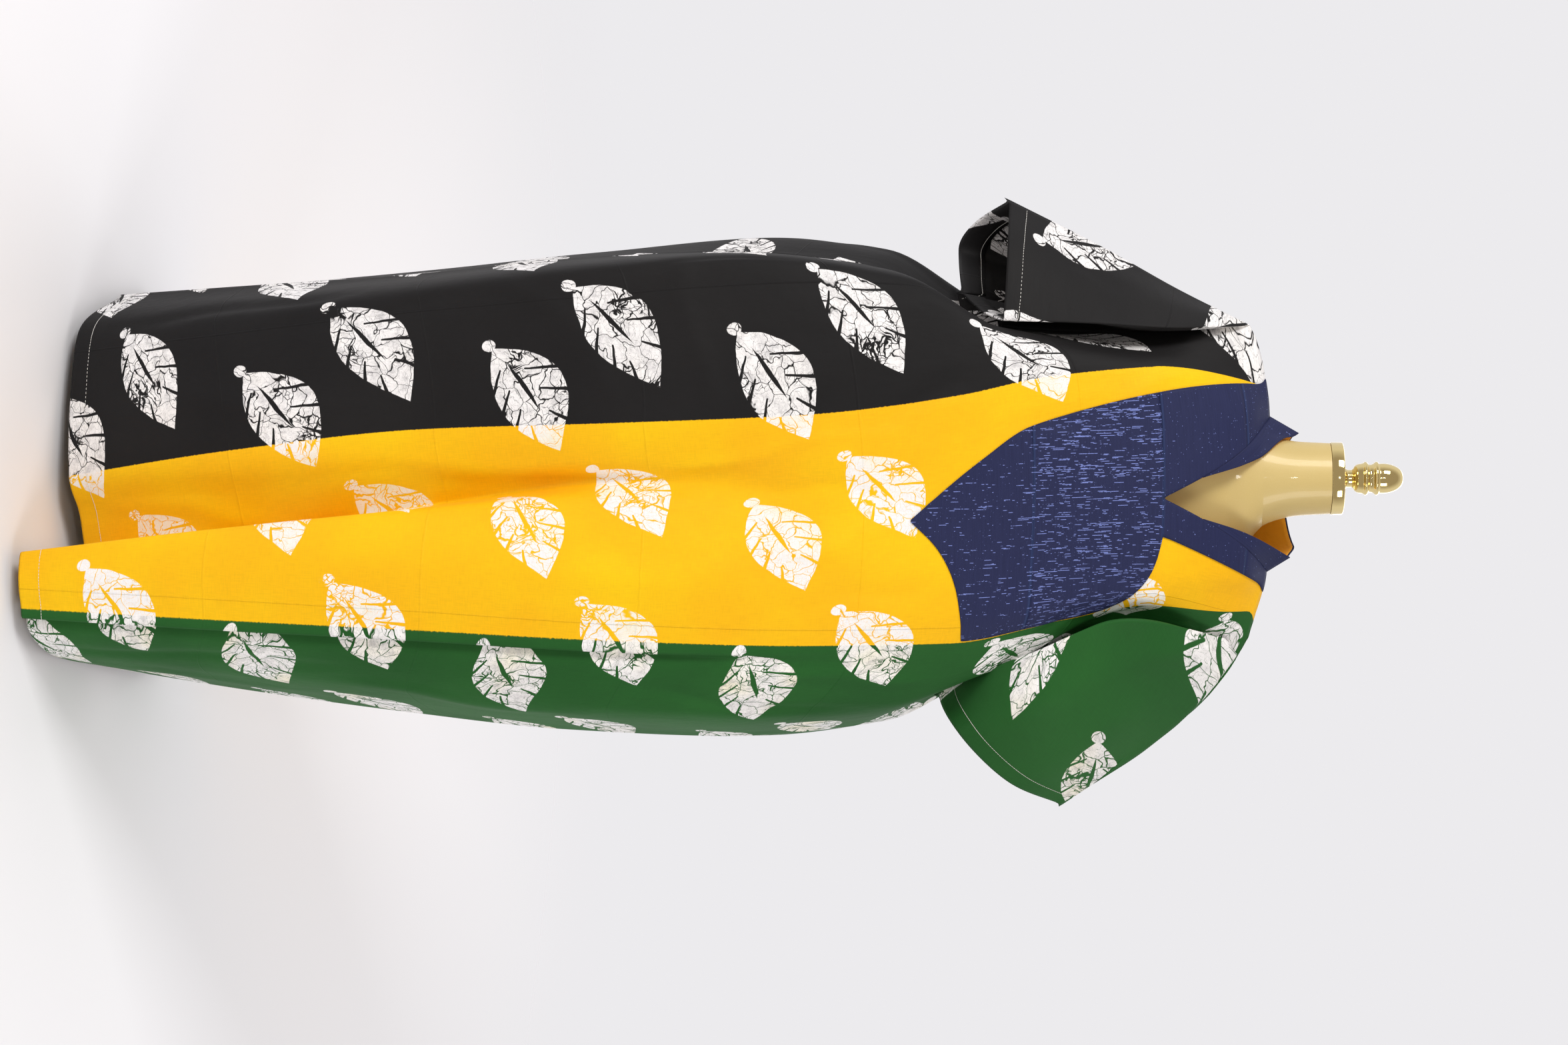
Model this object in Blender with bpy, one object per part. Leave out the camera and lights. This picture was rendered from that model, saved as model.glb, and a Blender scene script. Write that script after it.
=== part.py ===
"""Grand boubou robe on a limbless dress form.

A straight-cut robe: one front and one back, each cut in one with its sleeves, sewn together
along the shoulders, the tops of the sleeves, under the arms and down the sides. A yoke of
woven strips is laid on the chest around a V neck, with a stand collar and its facing behind
the neck. It hangs on a bust form with a turned finial, a pole and a round base.

The robe is worked out from its flat cut: u runs across the cloth and v runs down it from the
shoulder seam. Fold lines, each with its place at a few levels down the cloth, carry the cut
into its hung shape. The front faces -Y, +X is the wearer's left, +Z is up, and the origin is
under the middle of the base.
"""
import math

import bmesh
import bpy
import numpy as np

# ---- the flat cut, in metres ------------------------------------------------------------
CUFF_U = 0.56            # middle of the cloth to the cuff
SIDE_U = 0.47            # middle of the cloth to the side seam
SHOULDER_U = 0.20        # middle of the cloth to the point where the sleeve starts to hang
UNDERARM_V = 0.30        # shoulder seam to the underarm
HEM_V = 1.545            # shoulder seam to the hem
DYE_U = 0.18             # middle of the cloth to the edge of the middle dye band
NECK_U = 0.085           # half of the neck opening, along the shoulder seam
NECK_V = 0.165           # depth of the V neck
BACK_NECK_V = 0.050      # depth of the scooped back neck
CLOTH = 0.0012           # wall of the cotton
STRIP_CLOTH = 0.0014     # wall of the woven strips
SEAM_GAP = 0.0004        # between two pieces along a seam
YOKE_LIFT = 0.0034       # from the middle of the cotton to the middle of a strip

# ---- levels down the cloth where the fold lines are placed ------------------------------
LEVELS = (0.0, 0.05, 0.165, 0.30, 0.40, 0.58, 0.80, 1.05, 1.30, HEM_V)

# Fold lines of the front, from the side at -X to the one at +X. A row is the line's name, its
# place across the cloth (the side of an edge, bag or dye line, or a u for each level), and
# its x, y, z at each of LEVELS.
FRONT_LINES = (
    ("edge", -1, ((-.190, .000, 1.492), (-.187, -.012, 1.430), (-.184, -.010, 1.298),
                  (-.196, -.004, 1.140), (-.272, -.020, 1.015), (-.288, -.045, .840),
                  (-.282, -.055, .640), (-.266, -.050, .420), (-.256, -.045, .200),
                  (-.248, -.040, .024))),
    ("bag", -1, ((-.166, .000, 1.502), (-.166, -.036, 1.452), (-.158, -.070, 1.352),
                 (-.180, -.112, 1.195), (-.240, -.120, 1.085), (-.265, -.150, .895),
                 (-.248, -.165, .678), (-.224, -.160, .442), (-.202, -.150, .205),
                 (-.188, -.145, .014))),
    ("dye", -1, ((-.142, .000, 1.508), (-.140, -.036, 1.470), (-.134, -.095, 1.372),
                 (-.120, -.130, 1.245), (-.098, -.145, 1.145), (-.075, -.165, .965),
                 (-.066, -.175, .745), (-.060, -.178, .492), (-.035, -.185, .238),
                 (-.004, -.182, .020))),
    ("near left", (-.09, -.09, -.09, -.09, -.09, -.10, -.13, -.125, -.11, -.10),
     ((-.080, .000, 1.515), (-.068, -.052, 1.484), (-.058, -.102, 1.383),
      (-.054, -.130, 1.250), (-.048, -.144, 1.150), (-.030, -.165, .970),
      (-.022, -.168, .748), (-.010, -.162, .494), (.020, -.165, .241),
      (.046, -.164, .026))),
    ("valley", (.0, .0, .0, .0, .0, -.03, -.085, -.07, -.03, -.01),
     ((.021, .000, 1.517), (.024, -.058, 1.487), (.025, -.105, 1.385),
      (.030, -.130, 1.252), (.034, -.142, 1.152), (.018, -.158, .972),
      (.002, -.152, .750), (.030, -.132, .495), (.078, -.134, .243),
      (.112, -.146, .026))),
    ("lip", (.09, .09, .09, .09, .09, .05, -.03, .0, .065, .11),
     ((.118, .000, 1.511), (.114, -.050, 1.482), (.108, -.102, 1.383),
      (.112, -.128, 1.250), (.118, -.142, 1.150), (.090, -.168, .970),
      (.024, -.175, .748), (.038, -.200, .494), (.062, -.245, .241),
      (.090, -.290, .013))),
    ("near right", (.135, .135, .135, .135, .135, .115, .075, .09, .12, .145),
     ((.154, .000, 1.502), (.148, -.038, 1.472), (.136, -.098, 1.378),
      (.152, -.126, 1.248), (.162, -.142, 1.146), (.148, -.172, .966),
      (.120, -.200, .746), (.115, -.230, .492), (.112, -.260, .238),
      (.122, -.294, .012))),
    ("dye", 1, ((.190, .000, 1.492), (.176, -.036, 1.454), (.154, -.090, 1.366),
                (.178, -.118, 1.240), (.199, -.134, 1.138), (.202, -.168, .958),
                (.196, -.195, .738), (.183, -.222, .488), (.170, -.252, .236),
                (.156, -.287, .012))),
    ("bag", 1, ((.198, .000, 1.489), (.186, -.036, 1.438), (.162, -.084, 1.335),
                (.228, -.100, 1.190), (.272, -.115, 1.072), (.284, -.148, .890),
                (.276, -.168, .675), (.254, -.178, .442), (.232, -.195, .205),
                (.214, -.225, .012))),
    ("edge", 1, ((.203, .000, 1.488), (.196, -.022, 1.425), (.192, -.058, 1.300),
                 (.226, -.040, 1.140), (.312, -.010, .998), (.326, -.022, .828),
                 (.320, -.028, .632), (.300, -.032, .416), (.274, -.036, .200),
                 (.248, -.045, .024))),
)

# Fold lines of the back, in the same way.
BACK_LINES = (
    ("edge", -1, ((-.190, .000, 1.492), (-.190, .020, 1.430), (-.190, .025, 1.298),
                  (-.196, -.004, 1.140), (-.272, -.020, 1.015), (-.288, -.045, .840),
                  (-.282, -.055, .640), (-.266, -.050, .420), (-.256, -.045, .200),
                  (-.248, -.040, .024))),
    ("bag", -1, ((-.166, .000, 1.502), (-.168, .040, 1.462), (-.172, .078, 1.352),
                 (-.205, .075, 1.195), (-.296, .055, 1.040), (-.318, .062, .880),
                 (-.305, .078, .662), (-.286, .082, .432), (-.270, .088, .210),
                 (-.258, .092, .016))),
    ("dye", -1, ((-.142, .000, 1.508), (-.142, .044, 1.478), (-.140, .098, 1.378),
                 (-.150, .128, 1.245), (-.172, .150, 1.132), (-.182, .175, .950),
                 (-.176, .185, .730), (-.160, .192, .482), (-.148, .198, .232),
                 (-.140, .204, .014))),
    ("near left", (-.09,) * 10,
     ((-.080, .000, 1.515), (-.070, .066, 1.489), (-.058, .104, 1.390),
      (-.066, .128, 1.256), (-.082, .144, 1.150), (-.092, .160, .968),
      (-.094, .168, .746), (-.090, .172, .494), (-.088, .176, .240),
      (-.084, .182, .018))),
    ("back valley", (.0,) * 10,
     ((.022, .000, 1.517), (.022, .074, 1.492), (.020, .104, 1.392),
      (.014, .118, 1.258), (.004, .124, 1.156), (-.008, .130, .974),
      (-.018, .134, .752), (-.024, .138, .498), (-.028, .142, .244),
      (-.030, .148, .022))),
    ("near right", (.09,) * 10,
     ((.118, .000, 1.511), (.112, .066, 1.486), (.098, .104, 1.388),
      (.098, .126, 1.254), (.098, .142, 1.150), (.096, .158, .968),
      (.088, .168, .746), (.074, .174, .494), (.066, .178, .240),
      (.062, .184, .018))),
    ("dye", 1, ((.190, .000, 1.492), (.182, .044, 1.466), (.170, .096, 1.370),
                (.176, .124, 1.242), (.186, .146, 1.130), (.188, .172, .950),
                (.178, .186, .730), (.162, .196, .482), (.150, .203, .232),
                (.142, .208, .014))),
    ("bag", 1, ((.198, .000, 1.489), (.194, .034, 1.444), (.194, .072, 1.338),
                (.232, .078, 1.188), (.312, .064, 1.028), (.332, .070, .868),
                (.324, .078, .662), (.302, .084, .432), (.280, .090, .210),
                (.262, .094, .016))),
    ("edge", 1, ((.203, .000, 1.488), (.200, .016, 1.425), (.200, .016, 1.300),
                 (.226, -.040, 1.140), (.312, -.010, .998), (.326, -.022, .828),
                 (.320, -.028, .632), (.300, -.032, .416), (.274, -.036, .200),
                 (.248, -.045, .024))),
)

# A sleeve hangs in rays from its shoulder point. Each ray has its share of the way round
# from the shoulder seam (0) to the underarm (1), then its place at one third, two thirds
# and the whole of the way out to the cuff or to the underarm seam.
SLEEVE_STEPS = (0.0, 1 / 3, 2 / 3, 1.0)
CUFF_CORNER = 0.80       # the ray that ends in the lower corner of the cuff
SLEEVES = {
    ("front", -1): (
        (0.00, (-.234, .000, 1.408), (-.290, .000, 1.312), (-.355, .000, 1.190)),
        (0.24, (-.210, -.046, 1.405), (-.246, -.062, 1.302), (-.288, -.066, 1.192)),
        (0.48, (-.181, -.080, 1.396), (-.186, -.106, 1.292), (-.190, -.110, 1.188)),
        (0.64, (-.180, -.050, 1.388), (-.194, -.058, 1.276), (-.206, -.056, 1.160)),
        (0.80, (-.184, -.030, 1.384), (-.204, -.030, 1.264), (-.236, -.004, 1.130)),
        (1.00, None, None, None)),
    ("back", -1): (
        (0.00, (-.234, .000, 1.408), (-.290, .000, 1.312), (-.355, .000, 1.190)),
        (0.27, (-.226, .050, 1.400), (-.284, .068, 1.290), (-.344, .066, 1.150)),
        (0.54, (-.205, .070, 1.392), (-.255, .098, 1.276), (-.306, .094, 1.116)),
        (0.80, (-.194, .050, 1.384), (-.222, .062, 1.264), (-.236, -.004, 1.130)),
        (1.00, None, None, None)),
    ("front", 1): (
        (0.00, (.291, .000, 1.430), (.360, .000, 1.330), (.410, .000, 1.258)),
        (0.27, (.246, -.066, 1.392), (.314, -.084, 1.290), (.378, -.062, 1.196)),
        (0.54, (.212, -.110, 1.362), (.262, -.128, 1.246), (.318, -.085, 1.136)),
        (0.80, (.170, -.126, 1.345), (.212, -.130, 1.226), (.270, -.030, 1.104)),
        (0.92, (.178, -.096, 1.352), (.210, -.104, 1.236), (.248, -.034, 1.122)),
        (1.00, None, None, None)),
    ("back", 1): (
        (0.00, (.291, .000, 1.430), (.360, .000, 1.330), (.410, .000, 1.258)),
        (0.27, (.262, .060, 1.398), (.326, .082, 1.298), (.382, .070, 1.190)),
        (0.54, (.232, .082, 1.378), (.284, .104, 1.252), (.318, .082, 1.116)),
        (0.80, (.208, .050, 1.372), (.240, .056, 1.238), (.270, -.030, 1.104)),
        (1.00, None, None, None)),
}

# ---- the yoke, in the flat cut: rows of v, u ---------------------------------------------
STRIP_SEAMS = (0.0, 0.050, NECK_V, 0.320, 0.466)          # v of the seams, and of the tip
YOKE_LEFT = ((.0, -.150), (.050, -.148), (.165, -.136), (.320, -.100), (.375, -.060),
             (.425, -.020), (.466, .018))
YOKE_STRAP_RIGHT = ((.0, .108), (.050, .094), (.165, .047))
YOKE_RIGHT = ((.165, .047), (.172, .080), (.184, .112), (.204, .142), (.236, .162), (.280, .170),
              (.393, .170), (.398, .150), (.409, .106), (.430, .060), (.466, .018))
YOKE_TOP_GAP = 0.004     # from the shoulder seam to the first strip
YOKE_TIP_GAP = 0.003     # cut off the tip
NECK_GAP = 0.0006        # from the neck edge to the strips

# ---- collar -----------------------------------------------------------------------------
COLLAR_HEIGHT = 0.041
COLLAR_CLOTH = 0.0014
COLLAR_FOOT = 0.0012     # from the neck edge to the foot of the collar, along its rise
COLLAR_STEPS = 3         # rows of faces up the collar
COLLAR_MIDDLE = np.array([0.020, 0.008, 0.0])             # what the collar leans towards
COLLAR_SET = (0.0035, 0.0022)                             # collar off the neck edge: in, up
COLLAR_RUN = 0.118                                        # v at which it runs out down the V
COLLAR_DOWN = (0.110, 0.092, 0.074, 0.056, 0.038, 0.021, 0.005)   # v of its places down the V
COLLAR_BACK_PLACES = 13                                   # its places round the back
# lean of the collar over its height and its share of the height, from the left side of the
# front (0) over the back (0.5) to the right side (1): place, lean; place, share
COLLAR_LEANS = ((0.0, 2.4), (0.12, 1.4), (0.20, 0.92), (0.27, 0.66), (0.38, 0.35), (0.5, 0.28),
                (0.62, 0.36), (0.73, 0.70), (0.88, 1.5), (1.0, 2.4))
COLLAR_SHARES = ((0.0, 1.0), (0.35, 1.0), (0.5, 1.15), (0.66, 1.30), (0.72, 1.05), (1.0, 1.0))
COLLAR_RUN_POWER = 1.15
LEVEL_LEAN = 1.5         # at this lean the collar's sides head straight across
LEVEL_SHARE = 0.85       # and lose this share of their way back
FACING_GAP = 0.0008
FACING_DROP = 0.0015     # from the collar's top to its facing's
FORM_CLEAR = 0.0060      # from the form to the outside of the collar
TOUCH = 0.0004           # between the form's pieces where they meet

# ---- dress form -------------------------------------------------------------------------
# sections of the bust: z, half width, half depth, centre y
FORM_SECTIONS = (
    (0.770, 0.105, 0.070, 0.004),
    (0.785, 0.128, 0.088, 0.004),
    (0.880, 0.158, 0.102, 0.004),
    (0.960, 0.150, 0.092, 0.002),
    (1.060, 0.120, 0.078, -0.004),
    (1.150, 0.132, 0.086, -0.008),
    (1.240, 0.148, 0.100, -0.012),
    (1.310, 0.150, 0.096, -0.008),
    (1.380, 0.150, 0.080, 0.002),
    (1.430, 0.142, 0.068, 0.006),
    (1.462, 0.112, 0.058, 0.006),
    (1.484, 0.088, 0.054, 0.004),
    (1.506, 0.059, 0.049, 0.002),
    (1.526, 0.0505, 0.0475, 0.001),
    (1.548, 0.0460, 0.0460, 0.000),
    (1.588, 0.0435, 0.0435, 0.000),
)
FORM_SIDES = 28
# turned profiles, from the bottom up: radius, z
CAP_PROFILE = ((.0, 1.5884), (.0440, 1.5884), (.0446, 1.5895), (.0446, 1.6015), (.0436, 1.6030),
               (.0, 1.6030))
FINIAL_PROFILE = ((.0, 1.6034), (.0145, 1.6034), (.0135, 1.6055), (.0110, 1.6085),
                  (.0105, 1.6140), (.0150, 1.6170), (.0176, 1.6220), (.0182, 1.6255),
                  (.0202, 1.6280), (.0206, 1.6305), (.0200, 1.6325), (.0168, 1.6360),
                  (.0200, 1.6410), (.0206, 1.6435), (.0200, 1.6460), (.0178, 1.6480),
                  (.0180, 1.6540), (.0166, 1.6620), (.0125, 1.6700), (.0060, 1.6745),
                  (.0, 1.6755))
POLE_RADIUS = 0.0125
BASE_PROFILE = ((.0, .0), (.1030, .0), (.1050, .0020), (.1050, .0070), (.1020, .0100),
                (.0300, .0130), (.0220, .0180), (.0200, .0300), (.0, .0300))
ROUND_SIDES = 32


# ---- curves through a few points --------------------------------------------------------
def spline(knots, values, at):
    """Smooth curve through values at rising knots, with no overshoot between them."""
    knots = np.asarray(knots, float)
    values = np.asarray(values, float)
    k = int(np.clip(np.searchsorted(knots, at, side="right") - 1, 0, len(knots) - 2))
    h = knots[k + 1] - knots[k]
    rise = (values[k + 1] - values[k]) / h
    start = knot_slope(knots, values, k) if k > 0 else rise
    end = knot_slope(knots, values, k + 1) if k + 2 < len(knots) else rise
    t = (at - knots[k]) / h
    return ((2 * t ** 3 - 3 * t ** 2 + 1) * values[k] + (t ** 3 - 2 * t ** 2 + t) * h * start
            + (3 * t ** 2 - 2 * t ** 3) * values[k + 1] + (t ** 3 - t ** 2) * h * end)


def knot_slope(knots, values, k):
    """Slope at an inner knot: the weighted harmonic mean of the slopes beside it."""
    before, after = knots[k] - knots[k - 1], knots[k + 1] - knots[k]
    rise = (values[k] - values[k - 1]) / before
    fall = (values[k + 1] - values[k]) / after
    same_way = rise * fall > 0
    safe_rise = np.where(same_way, rise, 1.0)
    safe_fall = np.where(same_way, fall, 1.0)
    near, far = 2 * after + before, after + 2 * before
    mean = (near + far) / (near / safe_rise + far / safe_fall)
    return np.where(same_way, mean, 0.0)


def edge_u(v):
    """Half width of the body at v: the fold to the underarm, then the side seam."""
    share = min(v / UNDERARM_V, 1.0)
    return SHOULDER_U + (SIDE_U - SHOULDER_U) * share


def line_u(line, v):
    """Place of a fold line across the cloth at v."""
    kind, where = line[0], line[1]
    if kind == "edge":
        return where * edge_u(v)
    if kind == "bag":
        return where * (edge_u(v) + DYE_U) / 2
    if kind == "dye":
        return where * DYE_U
    return float(spline(LEVELS, where, v))


def body_point(lines, u, v):
    """The hung place of the cloth's point (u, v), for |u| up to edge_u(v)."""
    across = [line_u(line, v) for line in lines]
    places = [spline(LEVELS, line[2], v) for line in lines]
    return spline(across, places, u)


def sleeve_point(panel, lines, side, turn, out):
    """The hung place on a sleeve: turn from seam 0 to underarm 1, out from shoulder 0 to 1."""
    rays = SLEEVES[(panel, side)]
    v_out = UNDERARM_V
    turns = [ray[0] for ray in rays]
    shoulder = body_point(lines, side * SHOULDER_U, 0.0)
    places = []
    for ray in rays:
        if ray[1] is None:
            v = v_out * out
            places.append(body_point(lines, side * edge_u(v), v))
        else:
            steps = [shoulder] + [np.array(place) for place in ray[1:]]
            places.append(spline(SLEEVE_STEPS, steps, out))
    return spline(turns, places, turn)


# ---- the cut as a grid of quads ---------------------------------------------------------
BODY_ROWS = (0.0, 0.016, 0.033, 0.05, 0.088, 0.126, NECK_V, 0.197, 0.230, 0.265, UNDERARM_V,
             0.34, 0.38, 0.42, 0.47, 0.52, 0.58, 0.65, 0.72, 0.80, 0.88, 0.96, 1.05, 1.14,
             1.22, 1.30, 1.38, 1.46, HEM_V)
UNDERARM_ROW = BODY_ROWS.index(UNDERARM_V)
# columns between neighbouring fold lines, counted from the middle of the panel
COLUMNS = {("front", -1): (3, 3, 3, 3), ("front", 1): (3, 2, 2, 3, 3),
           ("back", -1): (3, 3, 3, 3), ("back", 1): (3, 3, 3, 3)}
SLEEVE_TURNS = (0.0, .12, .24, .36, .48, .56, .64, .72, .80, .90, 1.0)


def neck_edge(panel, v):
    """Half width of the neck opening at v."""
    if panel == "front":
        return NECK_U * max(0.0, 1 - v / NECK_V)
    return NECK_U * math.sqrt(max(0.0, 1 - (v / BACK_NECK_V) ** 2))


def side_lines(lines, side):
    """Fold lines on one side, from the middle one out to the edge."""
    middle = [i for i, line in enumerate(lines) if line[0].endswith("valley")][0]
    return lines[middle::-1] if side == -1 else lines[middle:]


def row_across(panel, lines, side, v):
    """The columns' places across the cloth at v: they follow the fold lines."""
    neck_v = NECK_V if panel == "front" else BACK_NECK_V
    at = max(v, neck_v)
    marks = [line_u(line, at) for line in side_lines(lines, side)]
    places = [marks[0]]
    for count, a, b in zip(COLUMNS[panel, side], marks, marks[1:]):
        places += [a + (b - a) * (i + 1) / count for i in range(count)]
    if v < neck_v:
        inner, outer = neck_edge(panel, v), edge_u(v)
        places = [side * inner + (outer - inner) * u / edge_u(neck_v) for u in places]
    return places


def panel_grid(panel, lines):
    """Points, faces and seam chains of a panel: the body, then both sleeves on its edges."""
    points, faces = [], []

    def add(place):
        points.append(np.array(place, float))
        return len(points) - 1

    neck_v = NECK_V if panel == "front" else BACK_NECK_V
    grids = {}
    chains = {}
    for side in (-1, 1):
        grid = []
        for r, v in enumerate(BODY_ROWS):
            row = []
            for c, u in enumerate(row_across(panel, lines, side, v)):
                if side == 1 and c == 0 and v >= neck_v:
                    row.append(grids[-1][r][0])
                    continue
                row.append(add(body_point(lines, u, v)))
            grid.append(row)
        grids[side] = grid
        for r in range(len(BODY_ROWS) - 1):
            for c in range(len(grid[r]) - 1):
                face = (grid[r][c], grid[r][c + 1], grid[r + 1][c + 1], grid[r + 1][c])
                faces.append(face if side == -1 else face[::-1])
        edge = [row[-1] for row in grid]
        before = edge[:UNDERARM_ROW + 1]
        underarm_seam = [before[-1]]
        for turn in SLEEVE_TURNS[-2::-1]:
            ray = [edge[0]]
            for v in BODY_ROWS[1:UNDERARM_ROW + 1]:
                out = v / UNDERARM_V
                ray.append(add(sleeve_point(panel, lines, side, turn, out)))
            for i in range(UNDERARM_ROW):
                face = (before[i], ray[i], ray[i + 1], before[i + 1])
                if i == 0:
                    face = (before[0], ray[1], before[1])
                faces.append(face if side == -1 else face[::-1])
            before = ray
            if turn >= CUFF_CORNER:
                underarm_seam.append(ray[-1])
        chains["top", side] = grid[0][:-1] + before
        chains["side", side] = underarm_seam[::-1] + edge[UNDERARM_ROW + 1:]
    return points, split_quads(points, faces), chains


def split_quads(points, faces):
    """Cut each quad along its shorter diagonal, so both sides of a wall match."""
    triangles = []
    for face in faces:
        if len(face) == 3:
            triangles.append(face)
            continue
        a, b, c, d = face
        if np.linalg.norm(points[a] - points[c]) <= np.linalg.norm(points[b] - points[d]):
            triangles += [(a, b, c), (a, c, d)]
        else:
            triangles += [(a, b, d), (b, c, d)]
    return triangles


def surface_normals(points, faces, front):
    """A normal at each point, turned to the outside of the robe."""
    normals = np.zeros((len(points), 3))
    for face in faces:
        corners = [points[i] for i in face]
        across = np.cross(corners[1] - corners[0], corners[2] - corners[0])
        for i in face:
            normals[i] += across
    normals /= np.maximum(np.linalg.norm(normals, axis=1), 1e-12)[:, None]
    mean = normals.mean(axis=0)
    if (mean[1] > 0) == front:
        normals = -normals
    return normals


def unit(vector):
    return vector / max(np.linalg.norm(vector), 1e-12)


def inward_directions(points, faces):
    """For each point, the way from it to the middle of the faces around it."""
    ways = np.zeros((len(points), 3))
    for face in faces:
        middle = sum(points[i] for i in face) / len(face)
        for i in face:
            ways[i] += unit(middle - points[i])
    return ways


def join_seams(front, back):
    """Bring both panels to one line along each seam, half a gap apart, with one normal."""
    (front_points, front_faces, chains), front_normals = front
    (back_points, back_faces, back_chains), back_normals = back
    front_ways = inward_directions(front_points, front_faces)
    back_ways = inward_directions(back_points, back_faces)
    for key, chain in chains.items():
        pairs = list(zip(chain, back_chains[key]))
        middles = [(front_points[f] + back_points[b]) / 2 for f, b in pairs]
        for i, (f, b) in enumerate(pairs):
            normal = unit(front_normals[f] + back_normals[b])
            along = unit(middles[min(i + 1, len(middles) - 1)] - middles[max(i - 1, 0)])
            across = unit(np.cross(along, normal))
            if np.dot(across, front_ways[f] - back_ways[b]) < 0:
                across = -across
            normal = unit(np.cross(across, along))
            if np.dot(normal, front_normals[f] + back_normals[b]) < 0:
                normal = -normal
            front_points[f] = middles[i] + across * SEAM_GAP / 2
            back_points[b] = middles[i] - across * SEAM_GAP / 2
            front_normals[f] = normal
            back_normals[b] = normal


def wall(points, faces, normals, thickness, lift=0.0):
    """Vertices and faces of a closed wall around a sheet, lifted along its normals."""
    count = len(points)
    outer = [tuple(p + n * (lift + thickness / 2)) for p, n in zip(points, normals)]
    inner = [tuple(p + n * (lift - thickness / 2)) for p, n in zip(points, normals)]
    solid = list(faces) + [tuple(i + count for i in face[::-1]) for face in faces]
    used = set()
    for face in faces:
        for a, b in zip(face, face[1:] + face[:1]):
            used.add((a, b))
    for a, b in sorted(used):
        if (b, a) not in used:
            solid.append((b, a, a + count, b + count))
    return outer + inner, solid


# ---- objects ----------------------------------------------------------------------------
def clear_scene():
    for thing in list(bpy.data.objects):
        bpy.data.objects.remove(thing, do_unlink=True)


def material(name, colour, roughness, metallic=0.0):
    made = bpy.data.materials.new(name)
    made.use_nodes = True
    shader = made.node_tree.nodes["Principled BSDF"]
    shader.inputs["Base Color"].default_value = (*colour, 1.0)
    shader.inputs["Roughness"].default_value = roughness
    shader.inputs["Metallic"].default_value = metallic
    return made


def solid_object(name, vertices, faces, finish, smooth_angle=None):
    """A closed mesh object; quads are split the same way on both sides of a wall."""
    shape = bmesh.new()
    verts = [shape.verts.new(v) for v in vertices]
    for face in faces:
        shape.faces.new([verts[i] for i in face])
    bmesh.ops.triangulate(shape, faces=shape.faces[:])
    bmesh.ops.recalc_face_normals(shape, faces=shape.faces[:])
    mesh = bpy.data.meshes.new(name)
    shape.to_mesh(mesh)
    shape.free()
    mesh.materials.append(finish)
    if smooth_angle:
        mesh.shade_smooth()
        mesh.set_sharp_from_angle(angle=math.radians(smooth_angle))
    made = bpy.data.objects.new(name, mesh)
    bpy.context.collection.objects.link(made)
    return made


def panels(cotton_front, cotton_back):
    """The front and the back, sewn along shoulders, sleeves, underarms and sides."""
    front_grid = panel_grid("front", FRONT_LINES)
    back_grid = panel_grid("back", BACK_LINES)
    front_normals = surface_normals(front_grid[0], front_grid[1], True)
    back_normals = surface_normals(back_grid[0], back_grid[1], False)
    join_seams((front_grid, front_normals), (back_grid, back_normals))
    for name, grid, normals, finish in (("front", front_grid, front_normals, cotton_front),
                                        ("back", back_grid, back_normals, cotton_back)):
        vertices, faces = wall(grid[0], grid[1], normals, CLOTH)
        solid_object(name, vertices, faces, finish, 60)


def front_normal(u, v):
    """Outward normal of the front at (u, v), from short steps along the cloth."""
    step = 0.004
    across = (body_point(FRONT_LINES, u + step, v) - body_point(FRONT_LINES, u - step, v))
    down = (body_point(FRONT_LINES, u, v + step) - body_point(FRONT_LINES, u, max(v - step, 0.0)))
    normal = unit(np.cross(down, across))
    return normal if normal[1] < 0.3 else -normal


def table_u(rows, v):
    """Reads a table of place, value at a place: a straight run between its rows."""
    return float(np.interp(v, [row[0] for row in rows], [row[1] for row in rows]))


def strip(name, low_v, high_v, left, right, rows, columns, finish):
    """One woven strip of the yoke, laid on the front between two outlines."""
    points, normals, faces = [], [], []
    half_gap = SEAM_GAP / 2
    for r in range(rows + 1):
        v = low_v + half_gap + (high_v - low_v - 2 * half_gap) * r / rows
        for c in range(columns + 1):
            a, b = left(v), right(v)
            u = a + (b - a) * c / columns
            points.append(body_point(FRONT_LINES, u, v))
            normals.append(front_normal(u, v))
    for r in range(rows):
        for c in range(columns):
            i = r * (columns + 1) + c
            faces.append((i, i + 1, i + columns + 2, i + columns + 1))
    vertices, solid = wall(points, split_quads(points, faces), normals, STRIP_CLOTH, YOKE_LIFT)
    return solid_object(name, vertices, solid, finish, 50)


def yoke(finish):
    """Four courses of strips; the upper two are split by the V of the neck."""
    def outer_left(v):
        return table_u(YOKE_LEFT, v)

    def neck_left(v):
        return -neck_edge("front", v) - NECK_GAP

    def neck_right(v):
        return neck_edge("front", v) + NECK_GAP

    def outer_right(v):
        return table_u(YOKE_STRAP_RIGHT, v)

    def chest_right(v):
        return table_u(YOKE_RIGHT, v)

    shoulder, collarbone, chest, waist, tip = STRIP_SEAMS
    strip("yoke_shoulder_right", shoulder + YOKE_TOP_GAP, collarbone, outer_left, neck_left, 3, 4, finish)
    strip("yoke_shoulder_left", shoulder + YOKE_TOP_GAP, collarbone, neck_right, outer_right, 3, 2, finish)
    strip("yoke_neck_right", collarbone, chest, outer_left, neck_left, 5, 5, finish)
    strip("yoke_neck_left", collarbone, chest, neck_right, outer_right, 5, 3, finish)
    strip("yoke_chest", chest, waist, outer_left, chest_right, 7, 11, finish)
    strip("yoke_point", waist, tip - YOKE_TIP_GAP, outer_left, chest_right, 9, 8, finish)


def form_section(z):
    """Half width, half depth and centre y of the dress form at a height."""
    return spline([row[0] for row in FORM_SECTIONS], [row[1:] for row in FORM_SECTIONS], z)


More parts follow.
